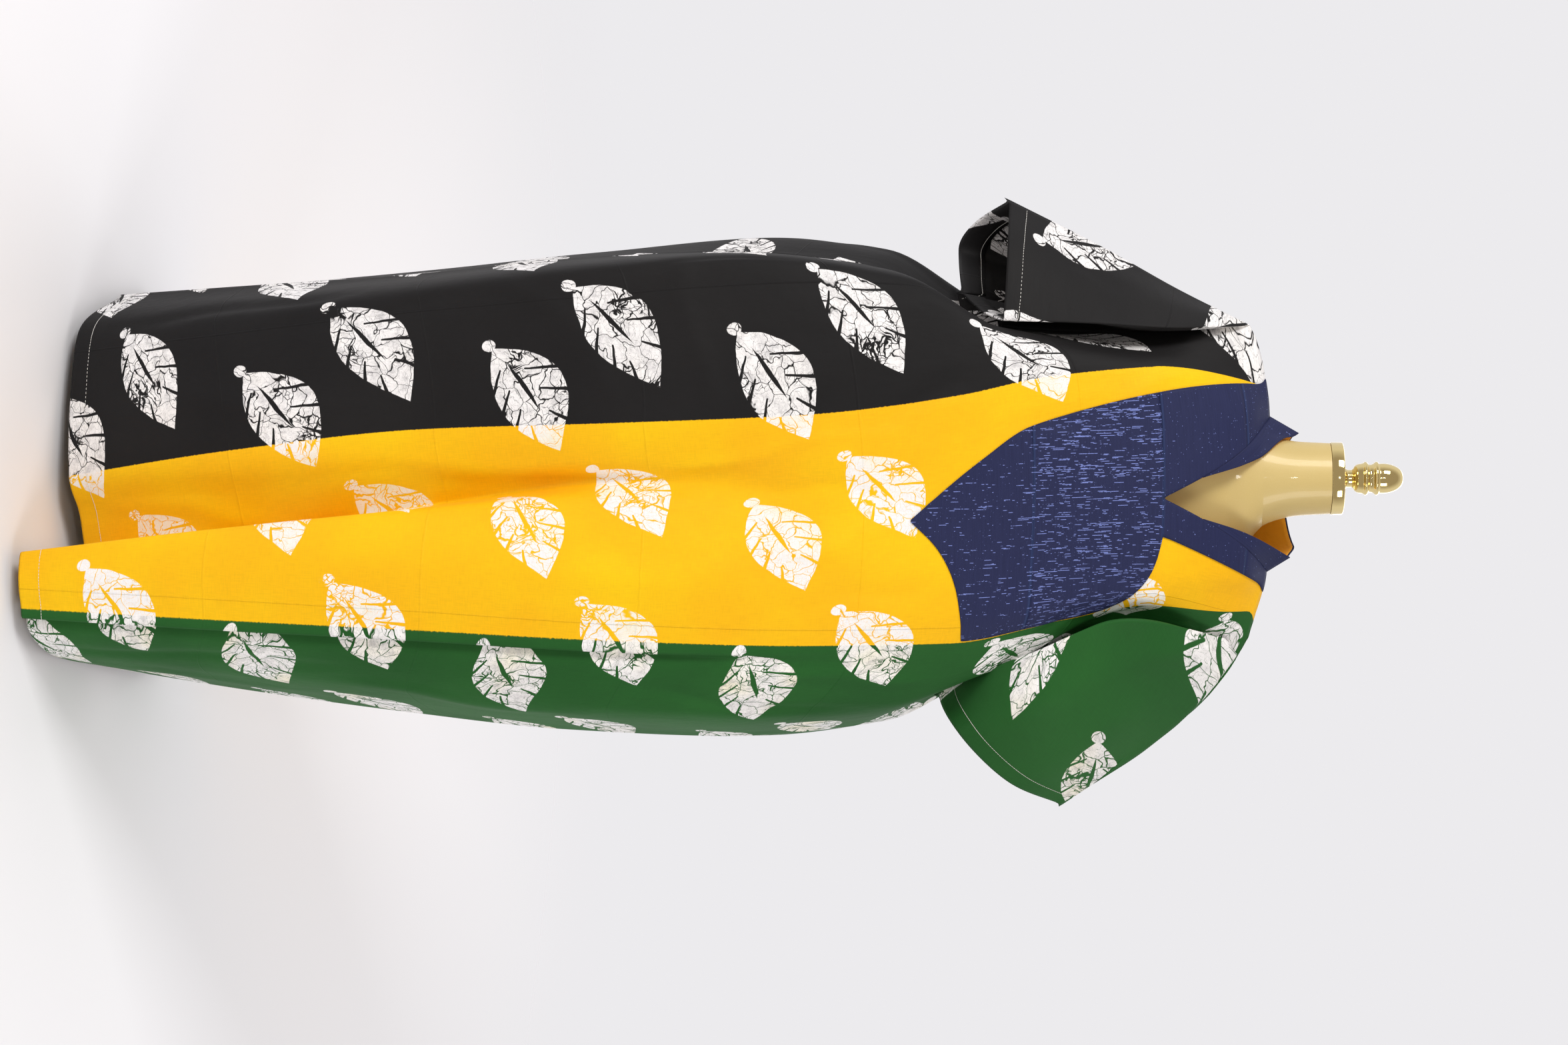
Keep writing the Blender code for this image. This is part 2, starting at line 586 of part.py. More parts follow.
def collar_stations():
    """Places along the neck edge, from one side of the V round the back to the other one,
    each with its share of the collar's height."""
    down = [(v, (1 - v / COLLAR_RUN) ** COLLAR_RUN_POWER) for v in COLLAR_DOWN]
    stations = [(body_point(FRONT_LINES, -neck_edge("front", v), v), share) for v, share in down]
    for k in range(COLLAR_BACK_PLACES):
        angle = math.pi * k / (COLLAR_BACK_PLACES - 1)
        u, v = -NECK_U * math.cos(angle), BACK_NECK_V * math.sin(angle)
        stations.append((body_point(BACK_LINES, u, v), 1.0))
    return stations + [(body_point(FRONT_LINES, neck_edge("front", v), v), share)
                       for v, share in reversed(down)]


def clear_of_form(place):
    """A place, moved out level where it would come closer than FORM_CLEAR to the form."""
    width, depth, middle = form_section(place[2])
    x, y = place[0], place[1] - middle
    nearness = math.hypot(x / (width + FORM_CLEAR), y / (depth + FORM_CLEAR))
    return np.array([x / min(1.0, nearness), middle + y / min(1.0, nearness), place[2]])


def collar(finish, facing_finish):
    """Stand collar around the back and sides of the neck, with its facing inside."""
    up = np.array([0, 0, 1.0])
    stations = collar_stations()
    row = COLLAR_STEPS + 1
    for name, inset, cloth, height, made_of in (
            ("collar", 0.0, COLLAR_CLOTH, COLLAR_HEIGHT, finish),
            ("collar_facing", COLLAR_CLOTH + FACING_GAP, CLOTH, COLLAR_HEIGHT - FACING_DROP,
             facing_finish)):
        points, normals, faces = [], [], []
        for n, (place, share) in enumerate(stations):
            along_edge = n / (len(stations) - 1)
            lean = table_u(COLLAR_LEANS, along_edge)
            share = share * table_u(COLLAR_SHARES, along_edge)
            ahead = 1 - LEVEL_SHARE * min(1.0, lean / LEVEL_LEAN)
            inward = unit((COLLAR_MIDDLE - place) * (1, ahead, 0))
            rise = unit(up + inward * lean)
            out = unit(up * lean - inward)
            foot = place + inward * COLLAR_SET[0] + up * COLLAR_SET[1]
            for k in range(row):
                along = COLLAR_FOOT + (height * share - COLLAR_FOOT) * k / COLLAR_STEPS
                points.append(clear_of_form(foot + rise * along) - out * inset)
                normals.append(out)
        for s in range(len(stations) - 1):
            for k in range(COLLAR_STEPS):
                i = s * row + k
                faces.append((i, i + row, i + row + 1, i + 1))
        vertices, solid = wall(points, split_quads(points, faces), normals, cloth)
        solid_object(name, vertices, solid, made_of, 50)


def lofted(name, rings, finish):
    """A closed body through rings of points, capped flat at both ends."""
    sides = len(rings[0])
    vertices = [p for ring in rings for p in ring]
    faces = [tuple(range(sides))]
    for r in range(len(rings) - 1):
        for c in range(sides):
            d = (c + 1) % sides
            faces.append((r * sides + c, r * sides + d, (r + 1) * sides + d, (r + 1) * sides + c))
    last = (len(rings) - 1) * sides
    faces.append(tuple(last + c for c in reversed(range(sides))))
    return solid_object(name, vertices, faces, finish, 50)


def torso(finish):
    """The bust, from below the hips to the top of the neck."""
    knots = [row[0] for row in FORM_SECTIONS]
    levels = sorted(set(knots) | {(a + b) / 2 for a, b in zip(knots[1:-1], knots[2:]) if b - a > .05})
    rings = []
    for z in levels:
        width, depth, middle = form_section(z)
        rings.append([(width * math.cos(t), middle + depth * math.sin(t), z)
                      for t in (2 * math.pi * i / FORM_SIDES for i in range(FORM_SIDES))])
    return lofted("form_torso", rings, finish)


def turned(name, profile, finish):
    """A body turned about the Z axis from a profile of radius, z; its ends are on the axis."""
    vertices, faces = [(0, 0, profile[0][1])], []
    rings = profile[1:-1]
    for radius, z in rings:
        for i in range(ROUND_SIDES):
            t = 2 * math.pi * i / ROUND_SIDES
            vertices.append((radius * math.cos(t), radius * math.sin(t), z))
    vertices.append((0, 0, profile[-1][1]))
    top = len(vertices) - 1
    for i in range(ROUND_SIDES):
        j = (i + 1) % ROUND_SIDES
        faces.append((0, 1 + j, 1 + i))
        for r in range(len(rings) - 1):
            a, b = 1 + r * ROUND_SIDES, 1 + (r + 1) * ROUND_SIDES
            faces.append((a + i, a + j, b + j, b + i))
        last = 1 + (len(rings) - 1) * ROUND_SIDES
        faces.append((top, last + i, last + j))
    return solid_object(name, vertices, faces, finish, 40)


def main():
    clear_scene()
    cotton = material("printed_cotton", (.95, .62, .0), .75)
    cotton_back = material("printed_cotton_back", (.06, .22, .07), .75)
    navy = material("woven_strip", (.035, .045, .14), .6)
    facing = material("facing_cotton", (.95, .45, .02), .75)
    shell = material("pearl_gold_shell", (.62, .48, .26), .35, .35)
    plate = material("gold_plate", (.85, .68, .34), .12, 1.0)
    steel = material("stand_steel", (.75, .75, .76), .25, 1.0)
    panels(cotton, cotton_back)
    yoke(navy)
    collar(navy, facing)
    torso(shell)
    turned("neck_cap", CAP_PROFILE, plate)
    turned("finial", FINIAL_PROFILE, plate)
    turned("base", BASE_PROFILE, steel)
    pole_foot, pole_top = BASE_PROFILE[-1][1] + TOUCH, FORM_SECTIONS[0][0] - TOUCH
    turned("pole", ((.0, pole_foot), (POLE_RADIUS, pole_foot), (POLE_RADIUS, pole_top),
                    (.0, pole_top)), steel)


main()
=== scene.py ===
# %% [markdown]
# # A wide robe on a bust form
# The robe is two flat panels, a front and a back, each cut in one with its sleeves. They are
# sewn along the shoulders, under the arms and down the sides, and hang from a bust form on a
# pole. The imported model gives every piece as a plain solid. This lesson makes the fine cloth,
# the printed and woven finishes, the polished stand, the light and the camera around it.

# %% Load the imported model
import math

import bmesh
import bpy
import numpy as np
from mathutils import Matrix, Vector
from mathutils.bvhtree import BVHTree
from mathutils.geometry import barycentric_transform


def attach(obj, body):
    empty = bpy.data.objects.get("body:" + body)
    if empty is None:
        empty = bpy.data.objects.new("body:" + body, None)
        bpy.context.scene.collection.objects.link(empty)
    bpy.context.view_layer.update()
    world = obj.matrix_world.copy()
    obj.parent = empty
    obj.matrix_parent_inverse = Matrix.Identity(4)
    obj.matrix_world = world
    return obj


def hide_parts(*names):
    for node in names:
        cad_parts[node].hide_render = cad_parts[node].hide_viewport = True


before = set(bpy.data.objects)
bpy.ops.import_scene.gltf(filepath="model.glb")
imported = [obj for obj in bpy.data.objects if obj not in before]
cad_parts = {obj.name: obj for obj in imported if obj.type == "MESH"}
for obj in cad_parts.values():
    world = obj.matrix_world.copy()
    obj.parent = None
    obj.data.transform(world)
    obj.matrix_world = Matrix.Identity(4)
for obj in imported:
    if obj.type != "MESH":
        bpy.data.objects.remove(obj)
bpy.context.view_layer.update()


def deselect_all():
    """Leaves nothing selected, because an operator acts on all that is."""
    if bpy.context.object and bpy.context.object.mode != "OBJECT":
        bpy.ops.object.mode_set(mode="OBJECT")
    bpy.ops.object.select_all(action="DESELECT")


# %% [markdown]
# ## The camera
# The robe is looked at from the front, from chest height, along a line that falls a little.
# The camera lies on its side, so the robe's top points to the right of the picture. A camera
# can be placed by a location and a rotation, but its tilt and its turn are easier to read as
# three directions: where its right, its up and its back point in the room.

# %% Place the camera
CAMERA_PLACE = (0.054, -2.75, 1.354)
CAMERA_FALL = math.radians(9.2)
camera_right = Vector((0, math.sin(CAMERA_FALL), math.cos(CAMERA_FALL)))
camera_up = Vector((-1, 0, 0))
camera_back = Vector((0, -math.cos(CAMERA_FALL), math.sin(CAMERA_FALL)))
turned = Matrix((camera_right, camera_up, camera_back)).transposed()
lens = bpy.data.cameras.new("camera")
lens.lens = 50
lens.sensor_width = 36
lens.clip_end = 60
camera = bpy.data.objects.new("camera", lens)
bpy.context.collection.objects.link(camera)
camera.matrix_world = Matrix.Translation(CAMERA_PLACE) @ turned.to_4x4()
bpy.context.scene.camera = camera
print("camera", round(-CAMERA_PLACE[1], 2), "m in front of the robe")

# %% [markdown]
# ## The studio
# The robe stands on a seamless pale floor. A real one is a paper sweep that curves up behind
# the object. Here a round floor fades out at its rim into a world of the same pale colour, so
# no horizon shows from any side. Glossy metal mirrors its surroundings, so the world that
# reflections see has darker and lighter parts, as a studio room has.

# %% Lay the floor
PALE = (0.865, 0.855, 0.875)
FLOOR_RADIUS = 9.0
deselect_all()
bpy.ops.mesh.primitive_circle_add(vertices=96, radius=FLOOR_RADIUS, fill_type="NGON",
                                  location=(0, 0, 0))
floor = bpy.context.object
floor.name = "floor"
paper = bpy.data.materials.new("floor_paper")
paper.use_nodes = True
nodes, links = paper.node_tree.nodes, paper.node_tree.links
nodes["Principled BSDF"].inputs["Base Color"].default_value = (*PALE, 1)
nodes["Principled BSDF"].inputs["Roughness"].default_value = 0.9
place = nodes.new("ShaderNodeTexCoord")
distance = nodes.new("ShaderNodeVectorMath")
distance.operation = "LENGTH"
fade = nodes.new("ShaderNodeMapRange")
fade.interpolation_type = "SMOOTHSTEP"
for name, value in (("From Min", 0.7), ("From Max", 3.2), ("To Min", 0), ("To Max", 1)):
    fade.inputs[name].default_value = value
clear = nodes.new("ShaderNodeBsdfTransparent")
blend = nodes.new("ShaderNodeMixShader")
links.new(place.outputs["Object"], distance.inputs[0])
links.new(distance.outputs["Value"], fade.inputs["Value"])
links.new(fade.outputs["Result"], blend.inputs["Fac"])
links.new(nodes["Principled BSDF"].outputs["BSDF"], blend.inputs[1])
links.new(clear.outputs["BSDF"], blend.inputs[2])
links.new(blend.outputs["Shader"], nodes["Material Output"].inputs["Surface"])
floor.data.materials.append(paper)

# %% Light the room
world = bpy.data.worlds.new("studio")
bpy.context.scene.world = world
world.use_nodes = True
nodes, links = world.node_tree.nodes, world.node_tree.links
backdrop = nodes["Background"]
backdrop.inputs["Color"].default_value = (0.84, 0.83, 0.85, 1)
backdrop.inputs["Strength"].default_value = 1.0
room = nodes.new("ShaderNodeBackground")
room.inputs["Strength"].default_value = 0.95
walls = nodes.new("ShaderNodeValToRGB")
walls.color_ramp.elements[0].position = 0.30
walls.color_ramp.elements[0].color = (0.42, 0.38, 0.34, 1)
walls.color_ramp.elements[1].position = 0.62
walls.color_ramp.elements[1].color = (0.86, 0.85, 0.87, 1)
direction = nodes.new("ShaderNodeTexCoord")
depth = nodes.new("ShaderNodeSeparateXYZ")
centred = nodes.new("ShaderNodeMath")
centred.operation = "MULTIPLY_ADD"
centred.inputs[1].default_value = 0.5
centred.inputs[2].default_value = 0.5
eye = nodes.new("ShaderNodeLightPath")
choose = nodes.new("ShaderNodeMixShader")
links.new(direction.outputs["Generated"], depth.inputs["Vector"])
links.new(depth.outputs["Y"], centred.inputs[0])
links.new(centred.outputs["Value"], walls.inputs["Fac"])
links.new(walls.outputs["Color"], room.inputs["Color"])
links.new(eye.outputs["Is Camera Ray"], choose.inputs["Fac"])
links.new(room.outputs["Background"], choose.inputs[1])
links.new(backdrop.outputs["Background"], choose.inputs[2])
links.new(choose.outputs["Shader"], nodes["World Output"].inputs["Surface"])

# name, place, aimed at, size, watts
LAMPS = (
    ("key_left", (-2.6, -2.3, 2.6), (0, 0, 0.95), 1.3, 88),
    ("key_right", (2.7, -2.2, 2.1), (0, 0, 0.85), 1.2, 36),
    ("back_fill", (0.4, 3.0, 2.6), (0, 0, 1.0), 2.0, 30),
    ("front_spark", (-0.10, -2.9, 1.95), (0, 0, 1.4), 0.16, 5),
)
for name, at, aim, size, watts in LAMPS:
    lamp = bpy.data.lights.new(name, "AREA")
    lamp.size = size
    lamp.energy = watts
    lit = bpy.data.objects.new(name, lamp)
    lit.matrix_world = (Matrix.Translation(at)
                        @ (Vector(aim) - Vector(at)).to_track_quat("-Z", "Y").to_matrix().to_4x4())
    bpy.context.collection.objects.link(lit)
bpy.context.scene.view_settings.view_transform = "Standard"
print(len(LAMPS), "soft lights and a pale world")

# %% [markdown]
# ## The flat cut and how it hangs
# A sewn garment is best thought of flat. Here u runs across the cloth from its middle and v
# runs down it from the shoulder seam, both in metres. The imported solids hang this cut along
# fold lines: each line is a strand of the cloth with its place in the room at ten levels. The
# same lines are used again here, so the fine cloth lies where its solid does, and the flat
# places stay with every point, ready for the print. Cloth simulation was considered, but it
# would settle into other folds than the ones this robe shows.

# %% Sizes of the cut, in metres
CUFF_U = 0.56            # middle of the cloth to the cuff
SIDE_U = 0.47            # middle of the cloth to the side seam
SHOULDER_U = 0.20        # middle of the cloth to the point where the sleeve starts to hang
UNDERARM_V = 0.30        # shoulder seam to the underarm
HEM_V = 1.545            # shoulder seam to the hem
DYE_U = 0.18             # middle of the cloth to the edge of the middle dye band
NECK_U = 0.085           # half of the neck opening
NECK_V = 0.165           # depth of the V neck
BACK_NECK_V = 0.050      # depth of the back neck
COTTON = 0.0007          # thickness of the cotton
LEVELS = (0.0, 0.05, 0.165, 0.30, 0.40, 0.58, 0.80, 1.05, 1.30, HEM_V)

# %% Fold lines of the front
# Each row is a line's name, its place across the cloth (the side of an edge, bag or dye line,
# or a u for each level), and its x, y, z at each of LEVELS.
FRONT_LINES = (
    ("edge", -1, ((-.190, .000, 1.492), (-.187, -.012, 1.430), (-.184, -.010, 1.298),
                  (-.196, -.004, 1.140), (-.272, -.020, 1.015), (-.288, -.045, .840),
                  (-.282, -.055, .640), (-.266, -.050, .420), (-.256, -.045, .200),
                  (-.248, -.040, .024))),
    ("bag", -1, ((-.166, .000, 1.502), (-.166, -.036, 1.452), (-.158, -.070, 1.352),
                 (-.180, -.112, 1.195), (-.240, -.120, 1.085), (-.265, -.150, .895),
                 (-.248, -.165, .678), (-.224, -.160, .442), (-.202, -.150, .205),
                 (-.188, -.145, .014))),
    ("dye", -1, ((-.142, .000, 1.508), (-.140, -.036, 1.470), (-.134, -.095, 1.372),
                 (-.120, -.130, 1.245), (-.098, -.145, 1.145), (-.075, -.165, .965),
                 (-.066, -.175, .745), (-.060, -.178, .492), (-.035, -.185, .238),
                 (-.004, -.182, .020))),
    ("near left", (-.09, -.09, -.09, -.09, -.09, -.10, -.13, -.125, -.11, -.10),
     ((-.080, .000, 1.515), (-.068, -.052, 1.484), (-.058, -.102, 1.383),
      (-.054, -.130, 1.250), (-.048, -.144, 1.150), (-.030, -.165, .970),
      (-.022, -.168, .748), (-.010, -.162, .494), (.020, -.165, .241),
      (.046, -.164, .026))),
    ("valley", (.0, .0, .0, .0, .0, -.03, -.085, -.07, -.03, -.01),
     ((.021, .000, 1.517), (.024, -.058, 1.487), (.025, -.105, 1.385),
      (.030, -.130, 1.252), (.034, -.142, 1.152), (.018, -.158, .972),
      (.002, -.152, .750), (.030, -.132, .495), (.078, -.134, .243),
      (.112, -.146, .026))),
    ("lip", (.09, .09, .09, .09, .09, .05, -.03, .0, .065, .11),
     ((.118, .000, 1.511), (.114, -.050, 1.482), (.108, -.102, 1.383),
      (.112, -.128, 1.250), (.118, -.142, 1.150), (.090, -.168, .970),
      (.024, -.175, .748), (.038, -.200, .494), (.062, -.245, .241),
      (.090, -.290, .013))),
    ("near right", (.135, .135, .135, .135, .135, .115, .075, .09, .12, .145),
     ((.154, .000, 1.502), (.148, -.038, 1.472), (.136, -.098, 1.378),
      (.152, -.126, 1.248), (.162, -.142, 1.146), (.148, -.172, .966),
      (.120, -.200, .746), (.115, -.230, .492), (.112, -.260, .238),
      (.122, -.294, .012))),
    ("dye", 1, ((.190, .000, 1.492), (.176, -.036, 1.454), (.154, -.090, 1.366),
                (.178, -.118, 1.240), (.199, -.134, 1.138), (.202, -.168, .958),
                (.196, -.195, .738), (.183, -.222, .488), (.170, -.252, .236),
                (.156, -.287, .012))),
    ("bag", 1, ((.198, .000, 1.489), (.186, -.036, 1.438), (.162, -.084, 1.335),
                (.228, -.100, 1.190), (.272, -.115, 1.072), (.284, -.148, .890),
                (.276, -.168, .675), (.254, -.178, .442), (.232, -.195, .205),
                (.214, -.225, .012))),
    ("edge", 1, ((.203, .000, 1.488), (.196, -.022, 1.425), (.192, -.058, 1.300),
                 (.226, -.040, 1.140), (.312, -.010, .998), (.326, -.022, .828),
                 (.320, -.028, .632), (.300, -.032, .416), (.274, -.036, .200),
                 (.248, -.045, .024))),
)

# %% Fold lines of the back
BACK_LINES = (
    ("edge", -1, ((-.190, .000, 1.492), (-.190, .020, 1.430), (-.190, .025, 1.298),
                  (-.196, -.004, 1.140), (-.272, -.020, 1.015), (-.288, -.045, .840),
                  (-.282, -.055, .640), (-.266, -.050, .420), (-.256, -.045, .200),
                  (-.248, -.040, .024))),
    ("bag", -1, ((-.166, .000, 1.502), (-.168, .040, 1.462), (-.172, .078, 1.352),
                 (-.205, .075, 1.195), (-.296, .055, 1.040), (-.318, .062, .880),
                 (-.305, .078, .662), (-.286, .082, .432), (-.270, .088, .210),
                 (-.258, .092, .016))),
    ("dye", -1, ((-.142, .000, 1.508), (-.142, .044, 1.478), (-.140, .098, 1.378),
                 (-.150, .128, 1.245), (-.172, .150, 1.132), (-.182, .175, .950),
                 (-.176, .185, .730), (-.160, .192, .482), (-.148, .198, .232),
                 (-.140, .204, .014))),
    ("near left", (-.09,) * 10,
     ((-.080, .000, 1.515), (-.070, .066, 1.489), (-.058, .104, 1.390),
      (-.066, .128, 1.256), (-.082, .144, 1.150), (-.092, .160, .968),
      (-.094, .168, .746), (-.090, .172, .494), (-.088, .176, .240),
      (-.084, .182, .018))),
    ("back valley", (.0,) * 10,
     ((.022, .000, 1.517), (.022, .074, 1.492), (.020, .104, 1.392),
      (.014, .118, 1.258), (.004, .124, 1.156), (-.008, .130, .974),
      (-.018, .134, .752), (-.024, .138, .498), (-.028, .142, .244),
      (-.030, .148, .022))),
    ("near right", (.09,) * 10,
     ((.118, .000, 1.511), (.112, .066, 1.486), (.098, .104, 1.388),
      (.098, .126, 1.254), (.098, .142, 1.150), (.096, .158, .968),
      (.088, .168, .746), (.074, .174, .494), (.066, .178, .240),
      (.062, .184, .018))),
    ("dye", 1, ((.190, .000, 1.492), (.182, .044, 1.466), (.170, .096, 1.370),
                (.176, .124, 1.242), (.186, .146, 1.130), (.188, .172, .950),
                (.178, .186, .730), (.162, .196, .482), (.150, .203, .232),
                (.142, .208, .014))),
    ("bag", 1, ((.198, .000, 1.489), (.194, .034, 1.444), (.194, .072, 1.338),
                (.232, .078, 1.188), (.312, .064, 1.028), (.332, .070, .868),
                (.324, .078, .662), (.302, .084, .432), (.280, .090, .210),
                (.262, .094, .016))),
    ("edge", 1, ((.203, .000, 1.488), (.200, .016, 1.425), (.200, .016, 1.300),
                 (.226, -.040, 1.140), (.312, -.010, .998), (.326, -.022, .828),
                 (.320, -.028, .632), (.300, -.032, .416), (.274, -.036, .200),
                 (.248, -.045, .024))),
)

# %% Rays of the sleeves
# A sleeve hangs in rays from its shoulder point. Each ray has its share of the way round
# from the shoulder seam (0) to the underarm (1), then its place at one third, two thirds
# and the whole of the way out to the cuff or to the underarm seam.
SLEEVE_STEPS = (0.0, 1 / 3, 2 / 3, 1.0)
CUFF_CORNER = 0.80       # the ray that ends in the lower corner of the cuff
SLEEVES = {
    ("front", -1): (
        (0.00, (-.234, .000, 1.408), (-.290, .000, 1.312), (-.355, .000, 1.190)),
        (0.24, (-.210, -.046, 1.405), (-.246, -.062, 1.302), (-.288, -.066, 1.192)),
        (0.48, (-.181, -.080, 1.396), (-.186, -.106, 1.292), (-.190, -.110, 1.188)),
        (0.64, (-.180, -.050, 1.388), (-.194, -.058, 1.276), (-.206, -.056, 1.160)),
        (0.80, (-.184, -.030, 1.384), (-.204, -.030, 1.264), (-.236, -.004, 1.130)),
        (1.00, None, None, None)),
    ("back", -1): (
        (0.00, (-.234, .000, 1.408), (-.290, .000, 1.312), (-.355, .000, 1.190)),
        (0.27, (-.226, .050, 1.400), (-.284, .068, 1.290), (-.344, .066, 1.150)),
        (0.54, (-.205, .070, 1.392), (-.255, .098, 1.276), (-.306, .094, 1.116)),
        (0.80, (-.194, .050, 1.384), (-.222, .062, 1.264), (-.236, -.004, 1.130)),
        (1.00, None, None, None)),
    ("front", 1): (
        (0.00, (.291, .000, 1.430), (.360, .000, 1.330), (.410, .000, 1.258)),
        (0.27, (.246, -.066, 1.392), (.314, -.084, 1.290), (.378, -.062, 1.196)),
        (0.54, (.212, -.110, 1.362), (.262, -.128, 1.246), (.318, -.085, 1.136)),
        (0.80, (.170, -.126, 1.345), (.212, -.130, 1.226), (.270, -.030, 1.104)),
        (0.92, (.178, -.096, 1.352), (.210, -.104, 1.236), (.248, -.034, 1.122)),
        (1.00, None, None, None)),
    ("back", 1): (
        (0.00, (.291, .000, 1.430), (.360, .000, 1.330), (.410, .000, 1.258)),
        (0.27, (.262, .060, 1.398), (.326, .082, 1.298), (.382, .070, 1.190)),
        (0.54, (.232, .082, 1.378), (.284, .104, 1.252), (.318, .082, 1.116)),
        (0.80, (.208, .050, 1.372), (.240, .056, 1.238), (.270, -.030, 1.104)),
        (1.00, None, None, None)),
}

# %% Curves through a few places
def knot_slopes(knots, values):
    """Slopes at the knots: at an inner one, the weighted harmonic mean of those beside it."""
    gap = np.diff(knots)[:, None]
    rise = np.diff(values, axis=0) / gap
    before, after = gap[:-1], gap[1:]
    near, far = 2 * after + before, after + 2 * before
    same_way = rise[:-1] * rise[1:] > 0
    left = np.where(same_way, rise[:-1], 1.0)
    right = np.where(same_way, rise[1:], 1.0)
    inner = np.where(same_way, (near + far) / (near / left + far / right), 0.0)
    return np.vstack([rise[:1], inner, rise[-1:]])


def spline(knots, values, at):
    """Smooth curve through values at rising knots, read at many places at once."""
    knots = np.asarray(knots, float)
    values = np.asarray(values, float).reshape(len(knots), -1)
    at = np.atleast_1d(np.asarray(at, float))
    slopes = knot_slopes(knots, values)
    k = np.clip(np.searchsorted(knots, at, side="right") - 1, 0, len(knots) - 2)
    gap = (knots[k + 1] - knots[k])[:, None]
    t = (at - knots[k])[:, None] / gap
    return ((2 * t ** 3 - 3 * t ** 2 + 1) * values[k] + (t ** 3 - 2 * t ** 2 + t) * gap * slopes[k]
            + (3 * t ** 2 - 2 * t ** 3) * values[k + 1] + (t ** 3 - t ** 2) * gap * slopes[k + 1])


def edge_u(v):
    """Half width of the body at v: the fold to the underarm, then the side seam."""
    return SHOULDER_U + (SIDE_U - SHOULDER_U) * np.minimum(v / UNDERARM_V, 1.0)


def line_u(line, v):
    """Place of a fold line across the cloth at v."""
    kind, where = line[0], line[1]
    if kind == "edge":
        return where * edge_u(v)
    if kind == "bag":
        return where * (edge_u(v) + DYE_U) / 2
    if kind == "dye":
        return where * DYE_U
    return float(spline(LEVELS, where, v)[0, 0])


def body_points(lines, places, v):
    """Where the cloth's points at places u and level v hang."""
    across = [line_u(line, v) for line in lines]
    strands = [spline(LEVELS, line[2], v)[0] for line in lines]
    return spline(across, strands, places)


def sleeve_points(panel, side, lines, turns, out):
    """Where a sleeve's points hang: turns from the seam, 0, to the underarm, 1."""
    edge = lines[0] if side == -1 else lines[-1]
    shoulder, underarm = spline(LEVELS, edge[2], (0.0, UNDERARM_V * out))
    rays = SLEEVES[panel, side]
    strands = [underarm if ray[1] is None
               else spline(SLEEVE_STEPS, (shoulder,) + ray[1:], out)[0] for ray in rays]
    return spline([ray[0] for ray in rays], strands, turns)


def sleeve_cut(side, turn, out):
    """The flat place u, v of a point on a sleeve."""
    if turn <= CUFF_CORNER:
        end_u, end_v = CUFF_U, UNDERARM_V * turn / CUFF_CORNER
    else:
        share = (turn - CUFF_CORNER) / (1 - CUFF_CORNER)
        end_u, end_v = CUFF_U + (SIDE_U - CUFF_U) * share, UNDERARM_V
    return side * (SHOULDER_U + (end_u - SHOULDER_U) * out), end_v * out


print(len(FRONT_LINES), "fold lines on the front and", len(BACK_LINES), "on the back")

# %% [markdown]
# ## Two panels from one cut
# Each panel is a grid of points on the flat cut. Its columns follow the fold lines, so that
# sharp folds run along edges of the mesh, and each sleeve is a fan of rays from the shoulder.
# Past the hem and the cuffs the grid goes on and turns back inside, as a maker turns and
# presses a hem. Small creases are then pressed into the surface one by one.

# %% The grid of a panel
HEM_TURN = 0.035         # cloth turned up at the hem
CUFF_TURN = 0.030        # cloth turned in at a cuff
HEM_TURN_ROWS = 6
CUFF_TURN_ROWS = 4
FOLD_IN = 0.0013         # from the cloth to the layer turned in behind it
# stretches of rows down the cloth: from, to, number
ROW_STRETCHES = ((0.0, BACK_NECK_V, 8), (BACK_NECK_V, NECK_V, 18), (NECK_V, UNDERARM_V, 21),
                 (UNDERARM_V, HEM_V - HEM_TURN, 184), (HEM_V - HEM_TURN, HEM_V, HEM_TURN_ROWS))
ROWS = [a + (b - a) * i / n for a, b, n in ROW_STRETCHES for i in range(n)] + [HEM_V]
UNDERARM_ROW = sum(count for _, _, count in ROW_STRETCHES[:3])
# columns between neighbouring fold lines, counted from the middle of the panel
COLUMNS = {("front", -1): (13, 13, 24, 24), ("front", 1): (16, 11, 11, 30, 24),
           ("back", -1): (13, 13, 24, 24), ("back", 1): (13, 13, 24, 24)}
SLEEVE_TURNS = [i / 60 for i in range(61)]
SIDE_RAISE = 0.060       # how far the grain rises towards the side seams at the hips
RAISE_SPAN = 0.95        # how far down from the underarm it does so


def neck_edge(panel, v):
    """Half width of the neck opening at v: a V in front, a scoop behind."""
    if panel == "front":
        return NECK_U * max(0.0, 1 - v / NECK_V)
    return NECK_U * math.sqrt(max(0.0, 1 - (v / BACK_NECK_V) ** 2))


def side_lines(lines, side):
    """Fold lines on one side, from the middle one out to the edge."""
    middle = [i for i, line in enumerate(lines) if line[0].endswith("valley")][0]
    return lines[middle::-1] if side == -1 else lines[middle:]


def row_across(panel, lines, side, v):
    """The columns' places across the cloth at v, which follow the fold lines."""
    neck_v = NECK_V if panel == "front" else BACK_NECK_V
    marks = [line_u(line, max(v, neck_v)) for line in side_lines(lines, side)]
    places = [marks[0]]
    for count, a, b in zip(COLUMNS[panel, side], marks, marks[1:]):
        places += [a + (b - a) * (i + 1) / count for i in range(count)]
    if v < neck_v:
        inner, outer = neck_edge(panel, v), edge_u(v)
        places = [side * inner + (outer - inner) * u / edge_u(neck_v) for u in places]
    return places


